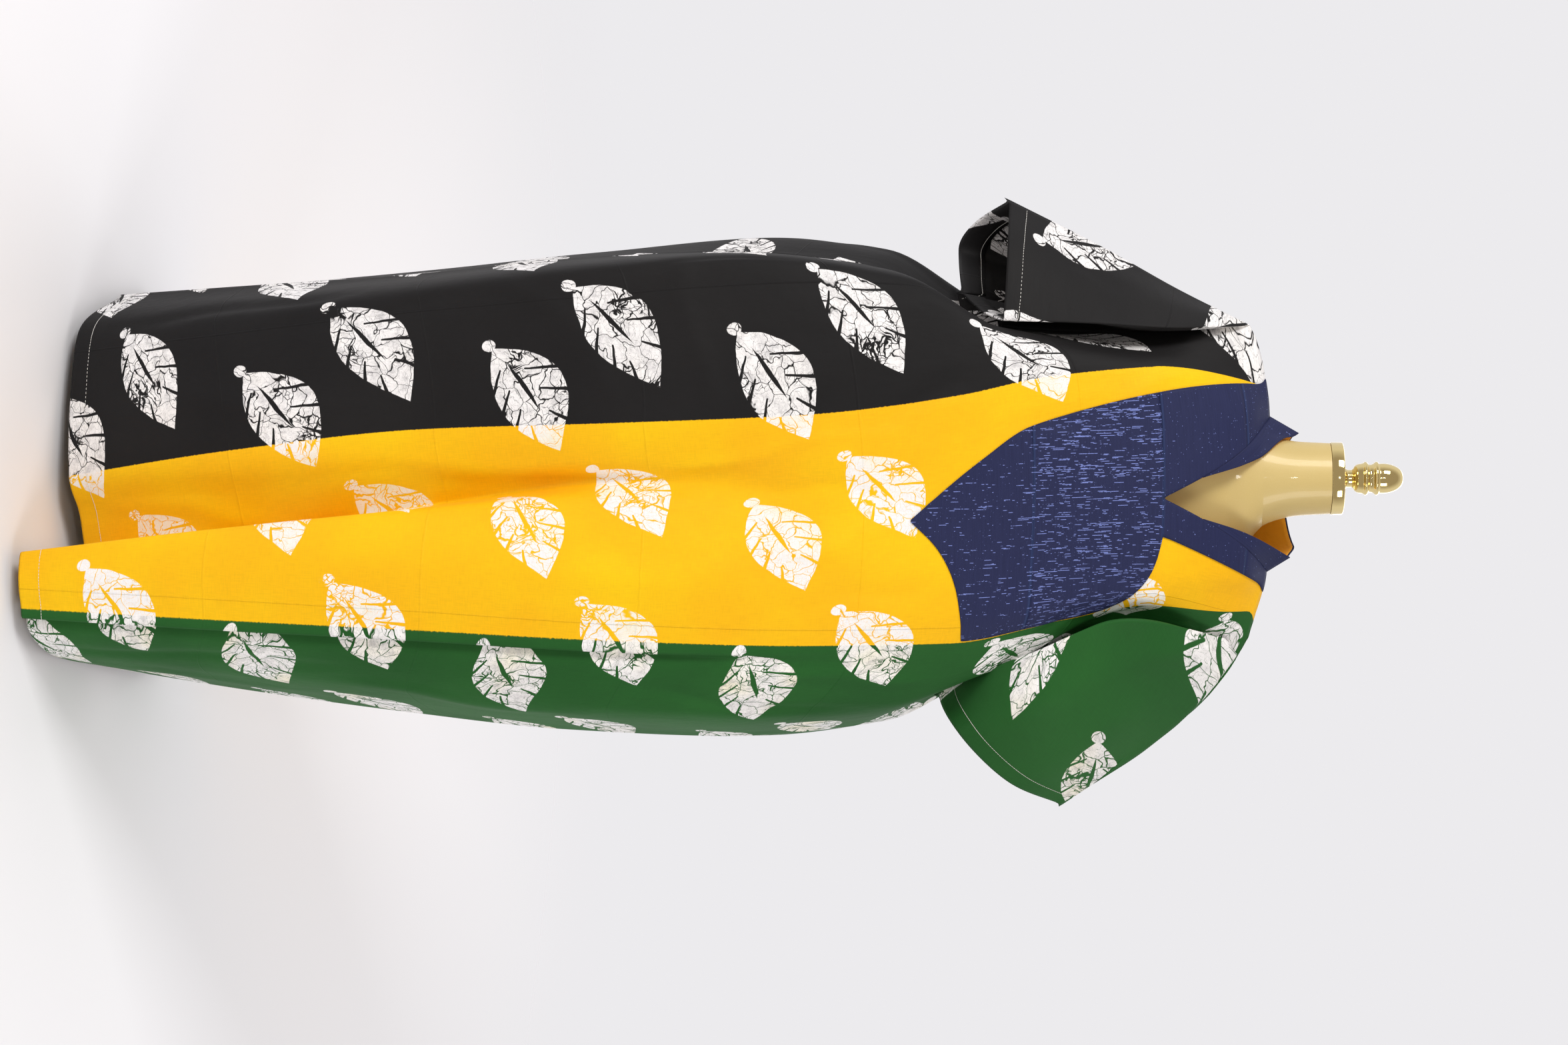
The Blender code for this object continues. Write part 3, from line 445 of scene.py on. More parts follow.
class Sheet:
    """Cloth as points with flat places, faces that look outwards, and its seam edges."""

    def __init__(self, panel):
        self.panel = panel
        self.points, self.cut, self.faces, self.print_at = [], [], [], {}
        self.seams, self.turned = {}, []

    def add(self, point, cut):
        """A new point and its flat place; gives its number."""
        self.points.append(point)
        self.cut.append(cut)
        return len(self.points) - 1

    def face(self, side, *corners):
        """A face whose corners are turned so that it looks out of the robe."""
        outward = corners if (side == -1) == (self.panel == "front") else corners[::-1]
        self.faces.append(outward)

    def turn_in(self, side, strands, flat_turn, rows):
        """Turns the last rows back inside: strands run to the edge of the cloth."""
        before = None
        for strand in strands:
            edge = strand[-1]
            row = [edge]
            for k in range(1, rows + 1):
                cut = np.array(self.cut[edge]) + flat_turn * k / rows
                row.append(self.add(self.points[strand[-1 - k]], tuple(cut)))
                self.turned.append((row[-1], strand[-1 - k]))
            if before:
                for k in range(rows):
                    self.face(side, before[k], row[k], row[k + 1], before[k + 1])
            before = row


def sew_panel(panel, lines):
    """The whole panel: the body, then both sleeves on its edges, then the turned hems."""
    sheet = Sheet(panel)
    neck_v = NECK_V if panel == "front" else BACK_NECK_V
    left_grid = None
    grids = []
    for side in (-1, 1):
        grid = []
        for r, v in enumerate(ROWS):
            places = row_across(panel, lines, side, v)
            points = body_points(lines, places, v)
            row = [sheet.add(point, (u, v)) for u, point in zip(places, points)
                   if not (left_grid and u is places[0] and v >= neck_v - 1e-9)]
            if left_grid and v >= neck_v - 1e-9:
                row = [left_grid[r][0]] + row
            grid.append(row)
        left_grid = left_grid or grid
        grids.append(grid)
        for above, below in zip(grid, grid[1:]):
            for c in range(len(above) - 1):
                sheet.face(side, above[c], above[c + 1], below[c + 1], below[c])
        columns = [[row[c] for row in grid[-HEM_TURN_ROWS - 1:]] for c in range(len(grid[0]))]
        sheet.turn_in(side, columns, np.array((0.0, HEM_TURN)), HEM_TURN_ROWS)
        sew_sleeve(sheet, side, lines, grid)
    even_print(sheet, grids)
    return sheet


def even_print(sheet, grids):
    """Spaces the print evenly over the surface between the dye edges and the sides."""
    neck_v = NECK_V if sheet.panel == "front" else BACK_NECK_V
    dye_columns = [sum(COLUMNS[sheet.panel, side][:-2]) for side in (-1, 1)]
    for left, right, v in zip(*grids, ROWS):
        if v >= neck_v - 1e-9:
            chains = [(left[dye_columns[0]:], -1), (right[dye_columns[1]:], 1),
                      (left[dye_columns[0]::-1] + right[1:dye_columns[1] + 1], 0)]
        else:
            chains = [(left[dye_columns[0]:], -1), (right[dye_columns[1]:], 1),
                      (left[:dye_columns[0] + 1], 0), (right[:dye_columns[1] + 1], 0)]
        for chain, side in chains:
            places = np.array([sheet.points[i] for i in chain])
            run = np.concatenate([[0], np.cumsum(np.linalg.norm(np.diff(places, axis=0), axis=1))])
            first, last = sheet.cut[chain[0]][0], sheet.cut[chain[-1]][0]
            if side:
                first = side * DYE_U
            for i, share in zip(chain, run / run[-1]):
                u = first + (last - first) * share
                out = max(0.0, (abs(u) - DYE_U) / (SIDE_U - DYE_U))
                raised = math.sin(math.pi * min(max((v - UNDERARM_V) / RAISE_SPAN, 0), 1))
                sheet.print_at[i] = (u, v + SIDE_RAISE * out * raised)


def sew_sleeve(sheet, side, lines, grid):
    """A sleeve, as rays from the shoulder, between the body's edge and the shoulder seam."""
    edge = [row[-1] for row in grid]
    rows = ROWS[1:UNDERARM_ROW + 1]
    places = [sleeve_points(sheet.panel, side, lines, SLEEVE_TURNS, v / UNDERARM_V)
              for v in rows]
    rays = [edge[:UNDERARM_ROW + 1]]
    for t in reversed(range(len(SLEEVE_TURNS) - 1)):
        ray = [edge[0]]
        for v, points in zip(rows, places):
            ray.append(sheet.add(points[t], sleeve_cut(side, SLEEVE_TURNS[t], v / UNDERARM_V)))
        before = rays[-1]
        sheet.face(side, before[0], ray[1], before[1])
        for i in range(1, UNDERARM_ROW):
            sheet.face(side, before[i], ray[i], ray[i + 1], before[i + 1])
        rays.append(ray)
    cuff = [ray for ray, turn in zip(rays, SLEEVE_TURNS[::-1]) if turn <= CUFF_CORNER + 1e-6]
    sheet.turn_in(side, cuff, np.array((side * CUFF_TURN, 0.0)), CUFF_TURN_ROWS)
    under = [ray[-1] for ray, turn in zip(rays, SLEEVE_TURNS[::-1]) if turn >= CUFF_CORNER - 1e-6]
    sheet.seams["top", side] = grid[0][:-1] + rays[-1]
    sheet.seams["side", side] = under[::-1] + edge[UNDERARM_ROW + 1:]


front = sew_panel("front", FRONT_LINES)
back = sew_panel("back", BACK_LINES)
print("front", len(front.faces), "faces, back", len(back.faces))

# %% Crease, soften and sew
# panel, flat place of one end, flat place of the other, half width, height (a trough is less
# than zero); all in metres
CREASES = (
    ("front", (-.30, .36), (-.20, .62), .012, .0042),
    ("front", (-.335, .52), (-.325, .80), .006, -.0034),
    ("front", (-.36, .66), (-.18, .70), .010, .0027),
    ("front", (-.245, .34), (-.14, .50), .011, -.0042),
    ("front", (-.20, .80), (-.35, .90), .012, .0027),
    ("front", (-.31, .92), (-.30, 1.20), .010, -.0030),
    ("front", (-.22, 1.15), (-.24, 1.52), .012, .0038),
    ("front", (-.36, 1.10), (-.33, 1.50), .013, -.0046),
    ("front", (-.13, .52), (-.10, .80), .010, .0030),
    ("front", (-.10, .85), (-.13, 1.20), .012, -.0034),
    ("front", (-.02, .50), (-.05, .66), .010, -.0038),
    ("front", (.03, .49), (.05, .66), .012, .0038),
    ("front", (.10, .44), (.13, .62), .010, -.0034),
    ("front", (.07, .66), (.09, .92), .013, .0038),
    ("front", (-.06, 1.22), (-.12, 1.50), .012, .0034),
    ("front", (.26, .40), (.23, .64), .012, .0042),
    ("front", (.34, .44), (.27, .74), .012, -.0042),
    ("front", (.36, .78), (.33, 1.10), .013, .0042),
    ("front", (.28, 1.12), (.30, 1.50), .012, -.0042),
    ("front", (.40, 1.15), (.38, 1.50), .012, .0038),
    ("front", (.14, .22), (.22, .34), .010, -.0038),
    ("front", (-.13, .20), (-.10, .34), .009, -.0034),
    ("front", (-.16, .10), (-.13, .26), .008, .0034),
    ("front", (.24, .06), (.40, .14), .010, .0030),
    ("front", (.30, .12), (.44, .26), .012, -.0038),
    ("front", (-.30, .10), (-.46, .18), .012, .0027),
    ("front", (-.38, .04), (-.52, .08), .010, -.0027),
    ("back", (-.34, .34), (-.24, .60), .013, .0049),
    ("back", (-.24, .36), (-.15, .60), .012, -.0049),
    ("back", (-.33, .62), (-.36, .98), .012, -.0046),
    ("back", (-.20, .70), (-.22, 1.10), .012, .0042),
    ("back", (-.10, .40), (-.07, .80), .012, .0042),
    ("back", (-.03, .30), (-.02, .70), .014, -.0049),
    ("back", (.06, .46), (.04, .95), .012, .0042),
    ("back", (.14, .40), (.16, .86), .012, -.0042),
    ("back", (.32, .36), (.24, .62), .013, .0049),
    ("back", (.34, .64), (.36, 1.06), .012, -.0042),
    ("back", (.22, .92), (.20, 1.36), .013, .0046),
    ("back", (-.12, .98), (-.10, 1.44), .013, -.0046),
    ("back", (.10, 1.04), (.12, 1.50), .012, .0042),
    ("back", (-.30, 1.06), (-.28, 1.50), .012, .0042),
    ("back", (.38, 1.10), (.40, 1.50), .012, -.0038),
    ("back", (.0, 1.10), (-.02, 1.46), .011, .0034),
    ("back", (-.38, .12), (-.50, .20), .012, .0034),
    ("back", (.32, .08), (.48, .18), .012, -.0038),
)


def outward_normals(sheet):
    points = np.array(sheet.points)
    normals = np.zeros_like(points)
    for size in (3, 4):
        faces = np.array([face for face in sheet.faces if len(face) == size])
        across = np.cross(points[faces[:, 2]] - points[faces[:, 0]],
                          points[faces[:, -1]] - points[faces[:, 1]]) if size == 4 else \
            np.cross(points[faces[:, 1]] - points[faces[:, 0]],
                     points[faces[:, 2]] - points[faces[:, 0]])
        for corner in range(size):
            np.add.at(normals, faces[:, corner], across)
    return normals / np.maximum(np.linalg.norm(normals, axis=1), 1e-12)[:, None]


def press_creases(sheet):
    """Lifts or sinks the cloth along each crease, most in its middle."""
    cut = np.array(sheet.cut)
    lift = np.zeros(len(cut))
    for panel, start, end, width, height in CREASES:
        if panel != sheet.panel:
            continue
        start, end = np.array(start), np.array(end)
        along = end - start
        share = np.clip((cut - start) @ along / (along @ along), 0, 1)
        wander = 0.010 * np.sin(7 * share + 40 * start[0])
        across = np.array((-along[1], along[0])) / np.linalg.norm(along)
        away = (cut - start) @ across - wander * share * (1 - share) * 4
        past = np.linalg.norm((cut - start) - share[:, None] * along, axis=1)
        reach = np.where((share > 0) & (share < 1), np.abs(away), past)
        lift += height * np.exp(-(reach / width) ** 2) * np.sqrt(np.sin(math.pi * np.clip(share, .02, .98)))
    sheet.points = list(np.array(sheet.points) + outward_normals(sheet) * lift[:, None])


def tuck_pleat(sheet):
    """A narrow pleat beside the right dye edge: the cloth folds back under itself."""
    cut = np.array(sheet.cut)
    points = np.array(sheet.points)
    u, v = cut[:, 0], cut[:, 1]
    strength = np.clip((v - 0.52) / 0.25, 0, 1) * 1.0
    rim = np.exp(-((u - 0.192) / 0.008) ** 2) * strength
    under = np.exp(-((u - 0.211) / 0.008) ** 2) * strength
    points[:, 0] += 0.0090 * rim - 0.0090 * under
    points[:, 1] += -0.0030 * rim + 0.0050 * under
    sheet.points = list(points)


def soften(sheet, rounds):
    """Rounds the folds: every inner point moves towards the middle of its neighbours."""
    points = np.array(sheet.points)
    edges = {}
    for face in sheet.faces:
        for a, b in zip(face, face[1:] + face[:1]):
            key = (a, b) if a < b else (b, a)
            edges[key] = edges.get(key, 0) + 1
    pairs = np.array(list(edges))
    fixed = np.zeros(len(points), bool)
    fixed[np.unique(pairs[np.array(list(edges.values())) == 1])] = True
    count = np.zeros(len(points))
    np.add.at(count, pairs.ravel(), 1)
    for _ in range(rounds):
        total = np.zeros_like(points)
        np.add.at(total, pairs[:, 0], points[pairs[:, 1]])
        np.add.at(total, pairs[:, 1], points[pairs[:, 0]])
        mean = total / count[:, None]
        points = np.where(fixed[:, None], points, points + 0.5 * (mean - points))
    sheet.points = list(points)


def lay_turns(sheet):
    """Puts the turned-in rows just behind the rows that they lie on."""
    normals = outward_normals(sheet)
    for turned, behind in sheet.turned:
        sheet.points[turned] = sheet.points[behind] - normals[behind] * FOLD_IN


def sew(front, back):
    """Brings the edges of both panels together along every seam."""
    for key, chain in front.seams.items():
        for f, b in zip(chain, back.seams[key]):
            front.points[f] = back.points[b] = (front.points[f] + back.points[b]) / 2


for sheet in (front, back):
    press_creases(sheet)
tuck_pleat(front)
sew(front, back)
for sheet in (front, back):
    soften(sheet, 5)
    lay_turns(sheet)
print("creased, softened and sewn along", len(front.seams), "seams")


# %% Turn a sheet into a piece
def cloth_piece(name, sheet, thickness, finish):
    """A mesh with the flat cut as its UV map, given its thickness by Solidify."""
    mesh = bpy.data.meshes.new(name)
    mesh.from_pydata([tuple(p) for p in sheet.points], [], sheet.faces)
    cut_map = mesh.uv_layers.new(name="cut")
    corners = np.empty(len(mesh.loops), int)
    mesh.loops.foreach_get("vertex_index", corners)
    printed = [sheet.print_at.get(i, cut) for i, cut in enumerate(sheet.cut)]
    cut_map.data.foreach_set("uv", np.array(printed, float)[corners].ravel())
    mesh.materials.append(finish)
    piece = bpy.data.objects.new(name, mesh)
    bpy.context.collection.objects.link(piece)
    deselect_all()
    piece.select_set(True)
    bpy.context.view_layer.objects.active = piece
    if thickness:
        wall = piece.modifiers.new("thickness", "SOLIDIFY")
        wall.thickness = thickness
        wall.offset = 0
        bpy.ops.object.modifier_apply(modifier=wall.name)
    bpy.ops.object.shade_smooth()
    return piece


# %% [markdown]
# ## Printed cotton
# The cotton was dyed in three bands along its length, black, yellow and green, and before
# that a block stamped leaves on it in wax, which keep the white of the cloth. The wax cracks,
# so fine lines of dye run through every leaf. A picture of the print would blur up close, so
# the print is drawn with numbers instead: Math nodes work out, from the flat place of each
# point, which leaf is nearest, where the point lies along and across it, and whether that is
# inside its outline.

# %% Arithmetic in a node tree
class Number:
    """A number in a material's node tree. Its sums and products are Math nodes."""

    def __init__(self, tree, socket):
        self.tree, self.socket = tree, socket

    def math(self, operation, *others, clamp=False):
        node = self.tree.nodes.new("ShaderNodeMath")
        node.operation = operation
        node.use_clamp = clamp
        for slot, value in zip(node.inputs, (self, *others)):
            if isinstance(value, Number):
                self.tree.links.new(value.socket, slot)
            else:
                slot.default_value = value
        return Number(self.tree, node.outputs[0])

    def __add__(self, other):
        return self.math("ADD", other)

    def __sub__(self, other):
        return self.math("SUBTRACT", other)

    def __mul__(self, other):
        return self.math("MULTIPLY", other)

    def __truediv__(self, other):
        return self.math("DIVIDE", other)

    def __neg__(self):
        return self.math("MULTIPLY", -1.0)

    def step(self, low, high):
        """0 below low, 1 above high, and a smooth rise between them."""
        node = self.tree.nodes.new("ShaderNodeMapRange")
        node.interpolation_type = "SMOOTHSTEP"
        self.tree.links.new(self.socket, node.inputs["Value"])
        for name, value in (("From Min", low), ("From Max", high)):
            if isinstance(value, Number):
                self.tree.links.new(value.socket, node.inputs[name])
            else:
                node.inputs[name].default_value = value
        return Number(self.tree, node.outputs["Result"])


def new_material(name, roughness, **settings):
    """A material with one Principled shader: returns it, its tree and the shader."""
    made = bpy.data.materials.new(name)
    made.use_nodes = True
    shader = made.node_tree.nodes["Principled BSDF"]
    shader.inputs["Roughness"].default_value = roughness
    for socket, value in settings.items():
        shader.inputs[socket.replace("_", " ")].default_value = value
    return made, made.node_tree, shader


def flat_place(tree):
    """The flat place u, v of a point, from the piece's UV map, with the vector itself."""
    cut = tree.nodes.new("ShaderNodeUVMap")
    cut.uv_map = "cut"
    parts = tree.nodes.new("ShaderNodeSeparateXYZ")
    tree.links.new(cut.outputs["UV"], parts.inputs[0])
    return (Number(tree, parts.outputs["X"]), Number(tree, parts.outputs["Y"]),
            cut.outputs["UV"])


def vector(tree, x, y, z=0.0):
    """Joins three numbers into a place."""
    node = tree.nodes.new("ShaderNodeCombineXYZ")
    for slot, value in zip(node.inputs, (x, y, z)):
        if isinstance(value, Number):
            tree.links.new(value.socket, slot)
        else:
            slot.default_value = value
    return node.outputs[0]


def noise(tree, place, scale, detail=2.0, roughness=0.5):
    """Cloudy noise from 0 to 1 at a place."""
    node = tree.nodes.new("ShaderNodeTexNoise")
    node.inputs["Scale"].default_value = scale
    node.inputs["Detail"].default_value = detail
    node.inputs["Roughness"].default_value = roughness
    tree.links.new(place, node.inputs["Vector"])
    return Number(tree, node.outputs[0])


def cracks(tree, place, scale):
    """Distance to the nearest line of a net of cracks, in the net's own cells."""
    node = tree.nodes.new("ShaderNodeTexVoronoi")
    node.feature = "DISTANCE_TO_EDGE"
    node.inputs["Scale"].default_value = scale
    tree.links.new(place, node.inputs["Vector"])
    return Number(tree, node.outputs["Distance"])


def mix_colour(tree, share, first, second):
    """first where share is 0 and second where it is 1; a colour is a tuple or a socket."""
    node = tree.nodes.new("ShaderNodeMix")
    node.data_type = "RGBA"
    tree.links.new(share.socket, node.inputs["Factor"])
    for slot, colour in ((node.inputs[6], first), (node.inputs[7], second)):
        if isinstance(colour, tuple):
            slot.default_value = (*colour, 1)
        else:
            tree.links.new(colour, slot)
    return node.outputs[2]


def bump(tree, shader, height, distance, strength=1.0):
    """Raises the surface by height, a Number from 0 to 1, times distance."""
    node = tree.nodes.new("ShaderNodeBump")
    node.inputs["Distance"].default_value = distance
    node.inputs["Strength"].default_value = strength
    tree.links.new(height.socket, node.inputs["Height"])
    tree.links.new(node.outputs["Normal"], shader.inputs["Normal"])


# %% The stamped leaf
LEAF_LENGTH = 0.162
REPEAT_U, REPEAT_V = 0.235, 0.3045       # the block is stamped again after so much cloth
# leaves of one repeat: their middle u, v on the cloth, and their lean
LEAVES = ((-0.055, 0.187, 0.57), (0.017, 0.307, 0.49))
# the stamped leaf is an egg-shaped blade on a knob, wider above its rib than below
STALK = 0.06             # where the blade starts, as a share of the leaf's length
LEAF_SWELL = 0.86        # under 1, the blade is broadest nearer to its knob
SLIT_RUN = 0.13          # how far a slit runs back from the rim towards the knob
SLIT_RIM, SLIT_END = 0.014, 0.007        # half widths of a slit
# halves of the leaf: side of the rib, full width, and where slits meet the rim along it
LEAF_HALVES = ((1, 0.335, (0.44, 0.62, 0.80)), (-1, 0.215, (0.36, 0.52, 0.68, 0.84)))


def half_width(full, along):
    """Width of half a leaf at a share of its length."""
    return full * math.sin(math.pi * ((along - STALK) / (1 - STALK)) ** LEAF_SWELL)


def slits():
    """Slits of the block: rim along and across, then inner end along and across."""
    for side, full, places in LEAF_HALVES:
        for rim in places:
            end = rim - SLIT_RUN
            yield rim, side * 1.08 * half_width(full, rim), end, side * 0.40 * half_width(full, end)


def blade_width(share, full):
    """The same width in the shader, from a share of the blade."""
    swollen = share.math("MAXIMUM", 0.0).math("POWER", LEAF_SWELL)
    return (swollen * math.pi).math("SINE") * full


def leaf(tree, u, v, middle_u, middle_v, lean):
    """1 inside the nearest stamp of one leaf of the repeat, and 0 outside."""
    column = ((u - middle_u) / REPEAT_U).math("ROUND")
    row = ((v - middle_v) / REPEAT_V).math("ROUND")
    chance = noise(tree, vector(tree, column * 3.7, row * 5.3, middle_u * 90), 1.0)
    turn = (chance - 0.5) * 0.36 + lean
    right = u - middle_u - column * REPEAT_U
    rise = -(v - middle_v - row * REPEAT_V)
    cosine, sine = turn.math("COSINE"), turn.math("SINE")
    along = (right * cosine + rise * sine) / LEAF_LENGTH + 0.5
    across = (rise * cosine - right * sine) / LEAF_LENGTH + 0.065
    share = (along - STALK) / (1 - STALK)
    above, below = (blade_width(share, full) for _side, full, _places in LEAF_HALVES)
    upper = across.math("GREATER_THAN", 0.0)
    width = upper * above + (upper * -1.0 + 1.0) * below
    inside = (width - across.math("ABSOLUTE")).step(0.0, 0.006) * along.step(0.068, 0.072)
    for rim_s, rim_t, end_s, end_t in slits():
        run_s, run_t = rim_s - end_s, rim_t - end_t
        length = run_s * run_s + run_t * run_t
        opened = ((along - end_s) * (run_s / length) + (across - end_t) * (run_t / length))
        opened = opened.math("MAXIMUM", 0.0)
        off_s = along - end_s - opened * run_s
        off_t = across - end_t - opened * run_t
        off = (off_s * off_s + off_t * off_t).math("SQRT")
        cut_open = (opened * (SLIT_RIM - SLIT_END) + SLIT_END - off).step(-0.002, 0.002)
        inside = inside * (cut_open * -1.0 + 1.0)
    # the rib is a thin lens
    rib_along = ((along - 0.18) / 0.47).math("MAXIMUM", 0.0).math("MINIMUM", 1.0)
    rib_width = (rib_along * math.pi).math("SINE") * 0.021
    off_rib = (across - 0.02 - rib_along * 0.03).math("ABSOLUTE")
    rib = (rib_width - off_rib).step(0.0, 0.005)
    knob_s, knob_t = along - 0.030, across + 0.012
    knob = ((knob_s * knob_s * 1.15 + knob_t * knob_t * 0.75).math("SQRT") * -1.0
            + 0.052).step(0.0, 0.006)
    stamped = (inside * (rib * -1.0 + 1.0)).math("MAXIMUM", knob)
    return stamped


# %% Cotton with its bands and leaves
BLACK_DYE = (0.0060, 0.0054, 0.0060)
YELLOW_DYE = (0.97, 0.50, 0.002)
GREEN_DYE = (0.011, 0.090, 0.014)
WAX_WHITE = (0.96, 0.94, 0.94)


def weave(place_u, place_v, threads):
    """Plain weave: threads go over and under each other, by turns. From 0 to 1."""
    warp = (place_u * (2 * math.pi * threads)).math("SINE")
    weft = (place_v * (2 * math.pi * threads)).math("SINE")
    return warp * weft * 0.5 + 0.5


def printed_cotton(name, down):
    """Cotton in three bands. Its leaves are upright where down is 1, upside down at -1."""
    made, tree, shader = new_material(name, 0.66, Sheen_Weight=0.02, Sheen_Roughness=0.4,
                                      Specular_IOR_Level=0.22)
    u, v, cut = flat_place(tree)
    sway = noise(tree, cut, 26.0, 3.0)
    sway_more = noise(tree, vector(tree, v, u, 3.0), 26.0, 3.0)
    leaf_u = u + (sway - 0.5) * 0.006
    leaf_v = v * down + (sway_more - 0.5) * 0.006
    stamped = [leaf(tree, leaf_u, leaf_v, *row) for row in LEAVES]
    stamp = stamped[0].math("MAXIMUM", stamped[1])
    # cracks in the wax: wide apart, then fine ones where the wax was crushed
    bent = vector(tree, u + (sway - 0.5) * 0.05, v + (sway_more - 0.5) * 0.05)
    patches = noise(tree, cut, 17.0, 2.0)
    wide = cracks(tree, bent, 44.0) - patches.step(0.40, 0.75) * 0.022
    fine = cracks(tree, bent, 120.0) - patches.step(0.50, 0.72) * 0.085 + 0.022
    finest = noise(tree, cut, 420.0, 4.0, 0.7)
    line = wide.step(0.006, 0.030).math("MINIMUM", fine.step(0.0, 0.05))
    crushed = finest - patches.step(0.55, 0.85) * 0.13
    waxed = stamp * line * crushed.step(0.30, 0.40)
    # the bands of dye, with an edge that bleeds a little
    bleed = (noise(tree, cut, 300.0, 3.0) - 0.5) * 0.0022
    green_side = (u + bleed).step(DYE_U - 0.0006, DYE_U + 0.0006)
    black_side = (-(u + bleed)).step(DYE_U - 0.0006, DYE_U + 0.0006)
    cloud = noise(tree, cut, 3.5, 3.0)
    yellow = mix_colour(tree, cloud.step(0.35, 0.7), YELLOW_DYE, (1.0, 0.62, 0.001))
    green = mix_colour(tree, cloud.step(0.3, 0.7), GREEN_DYE, (0.017, 0.122, 0.019))
    black = mix_colour(tree, cloud.step(0.3, 0.7), BLACK_DYE, (0.0100, 0.0092, 0.0096))
    dye = mix_colour(tree, black_side, mix_colour(tree, green_side, yellow, green), black)
    tint = noise(tree, cut, 11.0, 2.0).step(0.45, 0.85) * (black_side * -0.75 + 0.85)
    white = mix_colour(tree, tint * 0.6, WAX_WHITE, (0.97, 0.84, 0.30))
    grey = noise(tree, cut, 60.0, 4.0, 0.75).step(0.42, 0.72)
    white = mix_colour(tree, grey * (green_side + black_side) * 0.45, white, (0.30, 0.29, 0.31))
    printed = mix_colour(tree, waxed, dye, white)
    threads = weave(u, v, 900.0)
    slub = noise(tree, vector(tree, u * 900.0, v * 60.0), 1.0) + noise(
        tree, vector(tree, u * 60.0, v * 900.0), 1.0)
    toned = mix_colour(tree, slub.step(0.7, 1.3) * 0.09, printed, (0.0, 0.0, 0.0))
    tree.links.new(toned, shader.inputs["Base Color"])
    # pressed folds: a sharp line down the cloth and fainter ones across it
    down = ((u - 0.155).math("ABSOLUTE") * -1.0 + 0.0015).step(0.0, 0.0015)
    down = down + ((u + 0.33).math("ABSOLUTE") * -1.0 + 0.0015).step(0.0, 0.0015)
    across_fold = (((v / 0.26) - (v / 0.26).math("ROUND")).math("ABSOLUTE") * -0.26
                   + 0.002).step(0.0, 0.002)
    wrinkle = noise(tree, vector(tree, u * 1.0, v * 0.55), 19.0, 4.0, 0.55)
    relief = (wrinkle * 0.75 + down * 0.30 + across_fold * 0.16 + threads * 0.012
              + slub * 0.010)
    bump(tree, shader, relief, 0.0052, 0.55)
    return made


# the print runs on over the shoulders, so it is upside down on the back
cotton = printed_cotton("printed_cotton", 1.0)
cotton_back = printed_cotton("printed_cotton_back", -1.0)
print("printed cotton:", len(cotton.node_tree.nodes), "nodes")

# %% The panels
front_piece = cloth_piece("front_panel", front, COTTON, cotton)
back_piece = cloth_piece("back_panel", back, COTTON, cotton_back)
for piece, node, neck_area in ((front_piece, "front", NECK_U * NECK_V),
                               (back_piece, "back", math.pi / 2 * NECK_U * BACK_NECK_V)):
    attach(piece, "root")
    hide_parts(node)
    print(piece.name, len(piece.data.polygons), "faces")

# %% [markdown]
# ## The yoke
# Four courses of narrow-strip cloth, navy with blue metallic threads, are laid on the chest
# and sewn edge to edge. A strip that lies on a panel has to follow each of its folds, so its
# points are read from the finished panel: a flat place goes in, and the place in the room and
# the way out of the cloth come back.

# %% Read places on a finished panel
def cloth_reader(sheet):
    """A function from a flat place u, v and a lift to a place just off the cloth."""
    flat = [Vector((u, v, 0)) for u, v in sheet.cut]
    points = [Vector(p) for p in sheet.points]
    normals = [Vector(n) for n in outward_normals(sheet)]
    triangles = []
    for face in sheet.faces:
        triangles.append(face[:3])
        if len(face) == 4:
            triangles.append((face[0], face[2], face[3]))
    tree = BVHTree.FromPolygons(flat, triangles)

    def read(u, v, lift=0.0):
        place, _, index, _ = tree.find_nearest(Vector((u, v, 0)))
        a, b, c = triangles[index]
        corners = flat[a], flat[b], flat[c]
        point = barycentric_transform(place, *corners, points[a], points[b], points[c])
        normal = barycentric_transform(place, *corners, normals[a], normals[b], normals[c])
        return np.array(point + normal.normalized() * lift)

    return read


on_front = cloth_reader(front)
on_back = cloth_reader(back)

# %% The courses of the yoke
STRIP_SEAMS = (0.0, 0.050, NECK_V, 0.320, 0.466)          # v of the seams, and of the tip
YOKE_LIFT = 0.0015
STRIP_CLOTH = 0.0009
YOKE_STEP = 0.0045
# outlines down the cloth: v, u
YOKE_LEFT = ((.0, -.150), (.050, -.148), (.165, -.136), (.320, -.100), (.375, -.060),
             (.425, -.020), (.466, .018))
STRAP_RIGHT = ((.0, .108), (.050, .094), (.165, .047))
YOKE_RIGHT = ((.165, .047), (.172, .080), (.184, .116), (.204, .152), (.236, .174), (.280, .178),
              (.393, .177), (.398, .150), (.409, .106), (.430, .060), (.466, .018))


def outline(rows, v):
    """u of an outline at v, from rows of v, u."""
    return float(spline([row[0] for row in rows], [row[1] for row in rows], v)[0, 0])


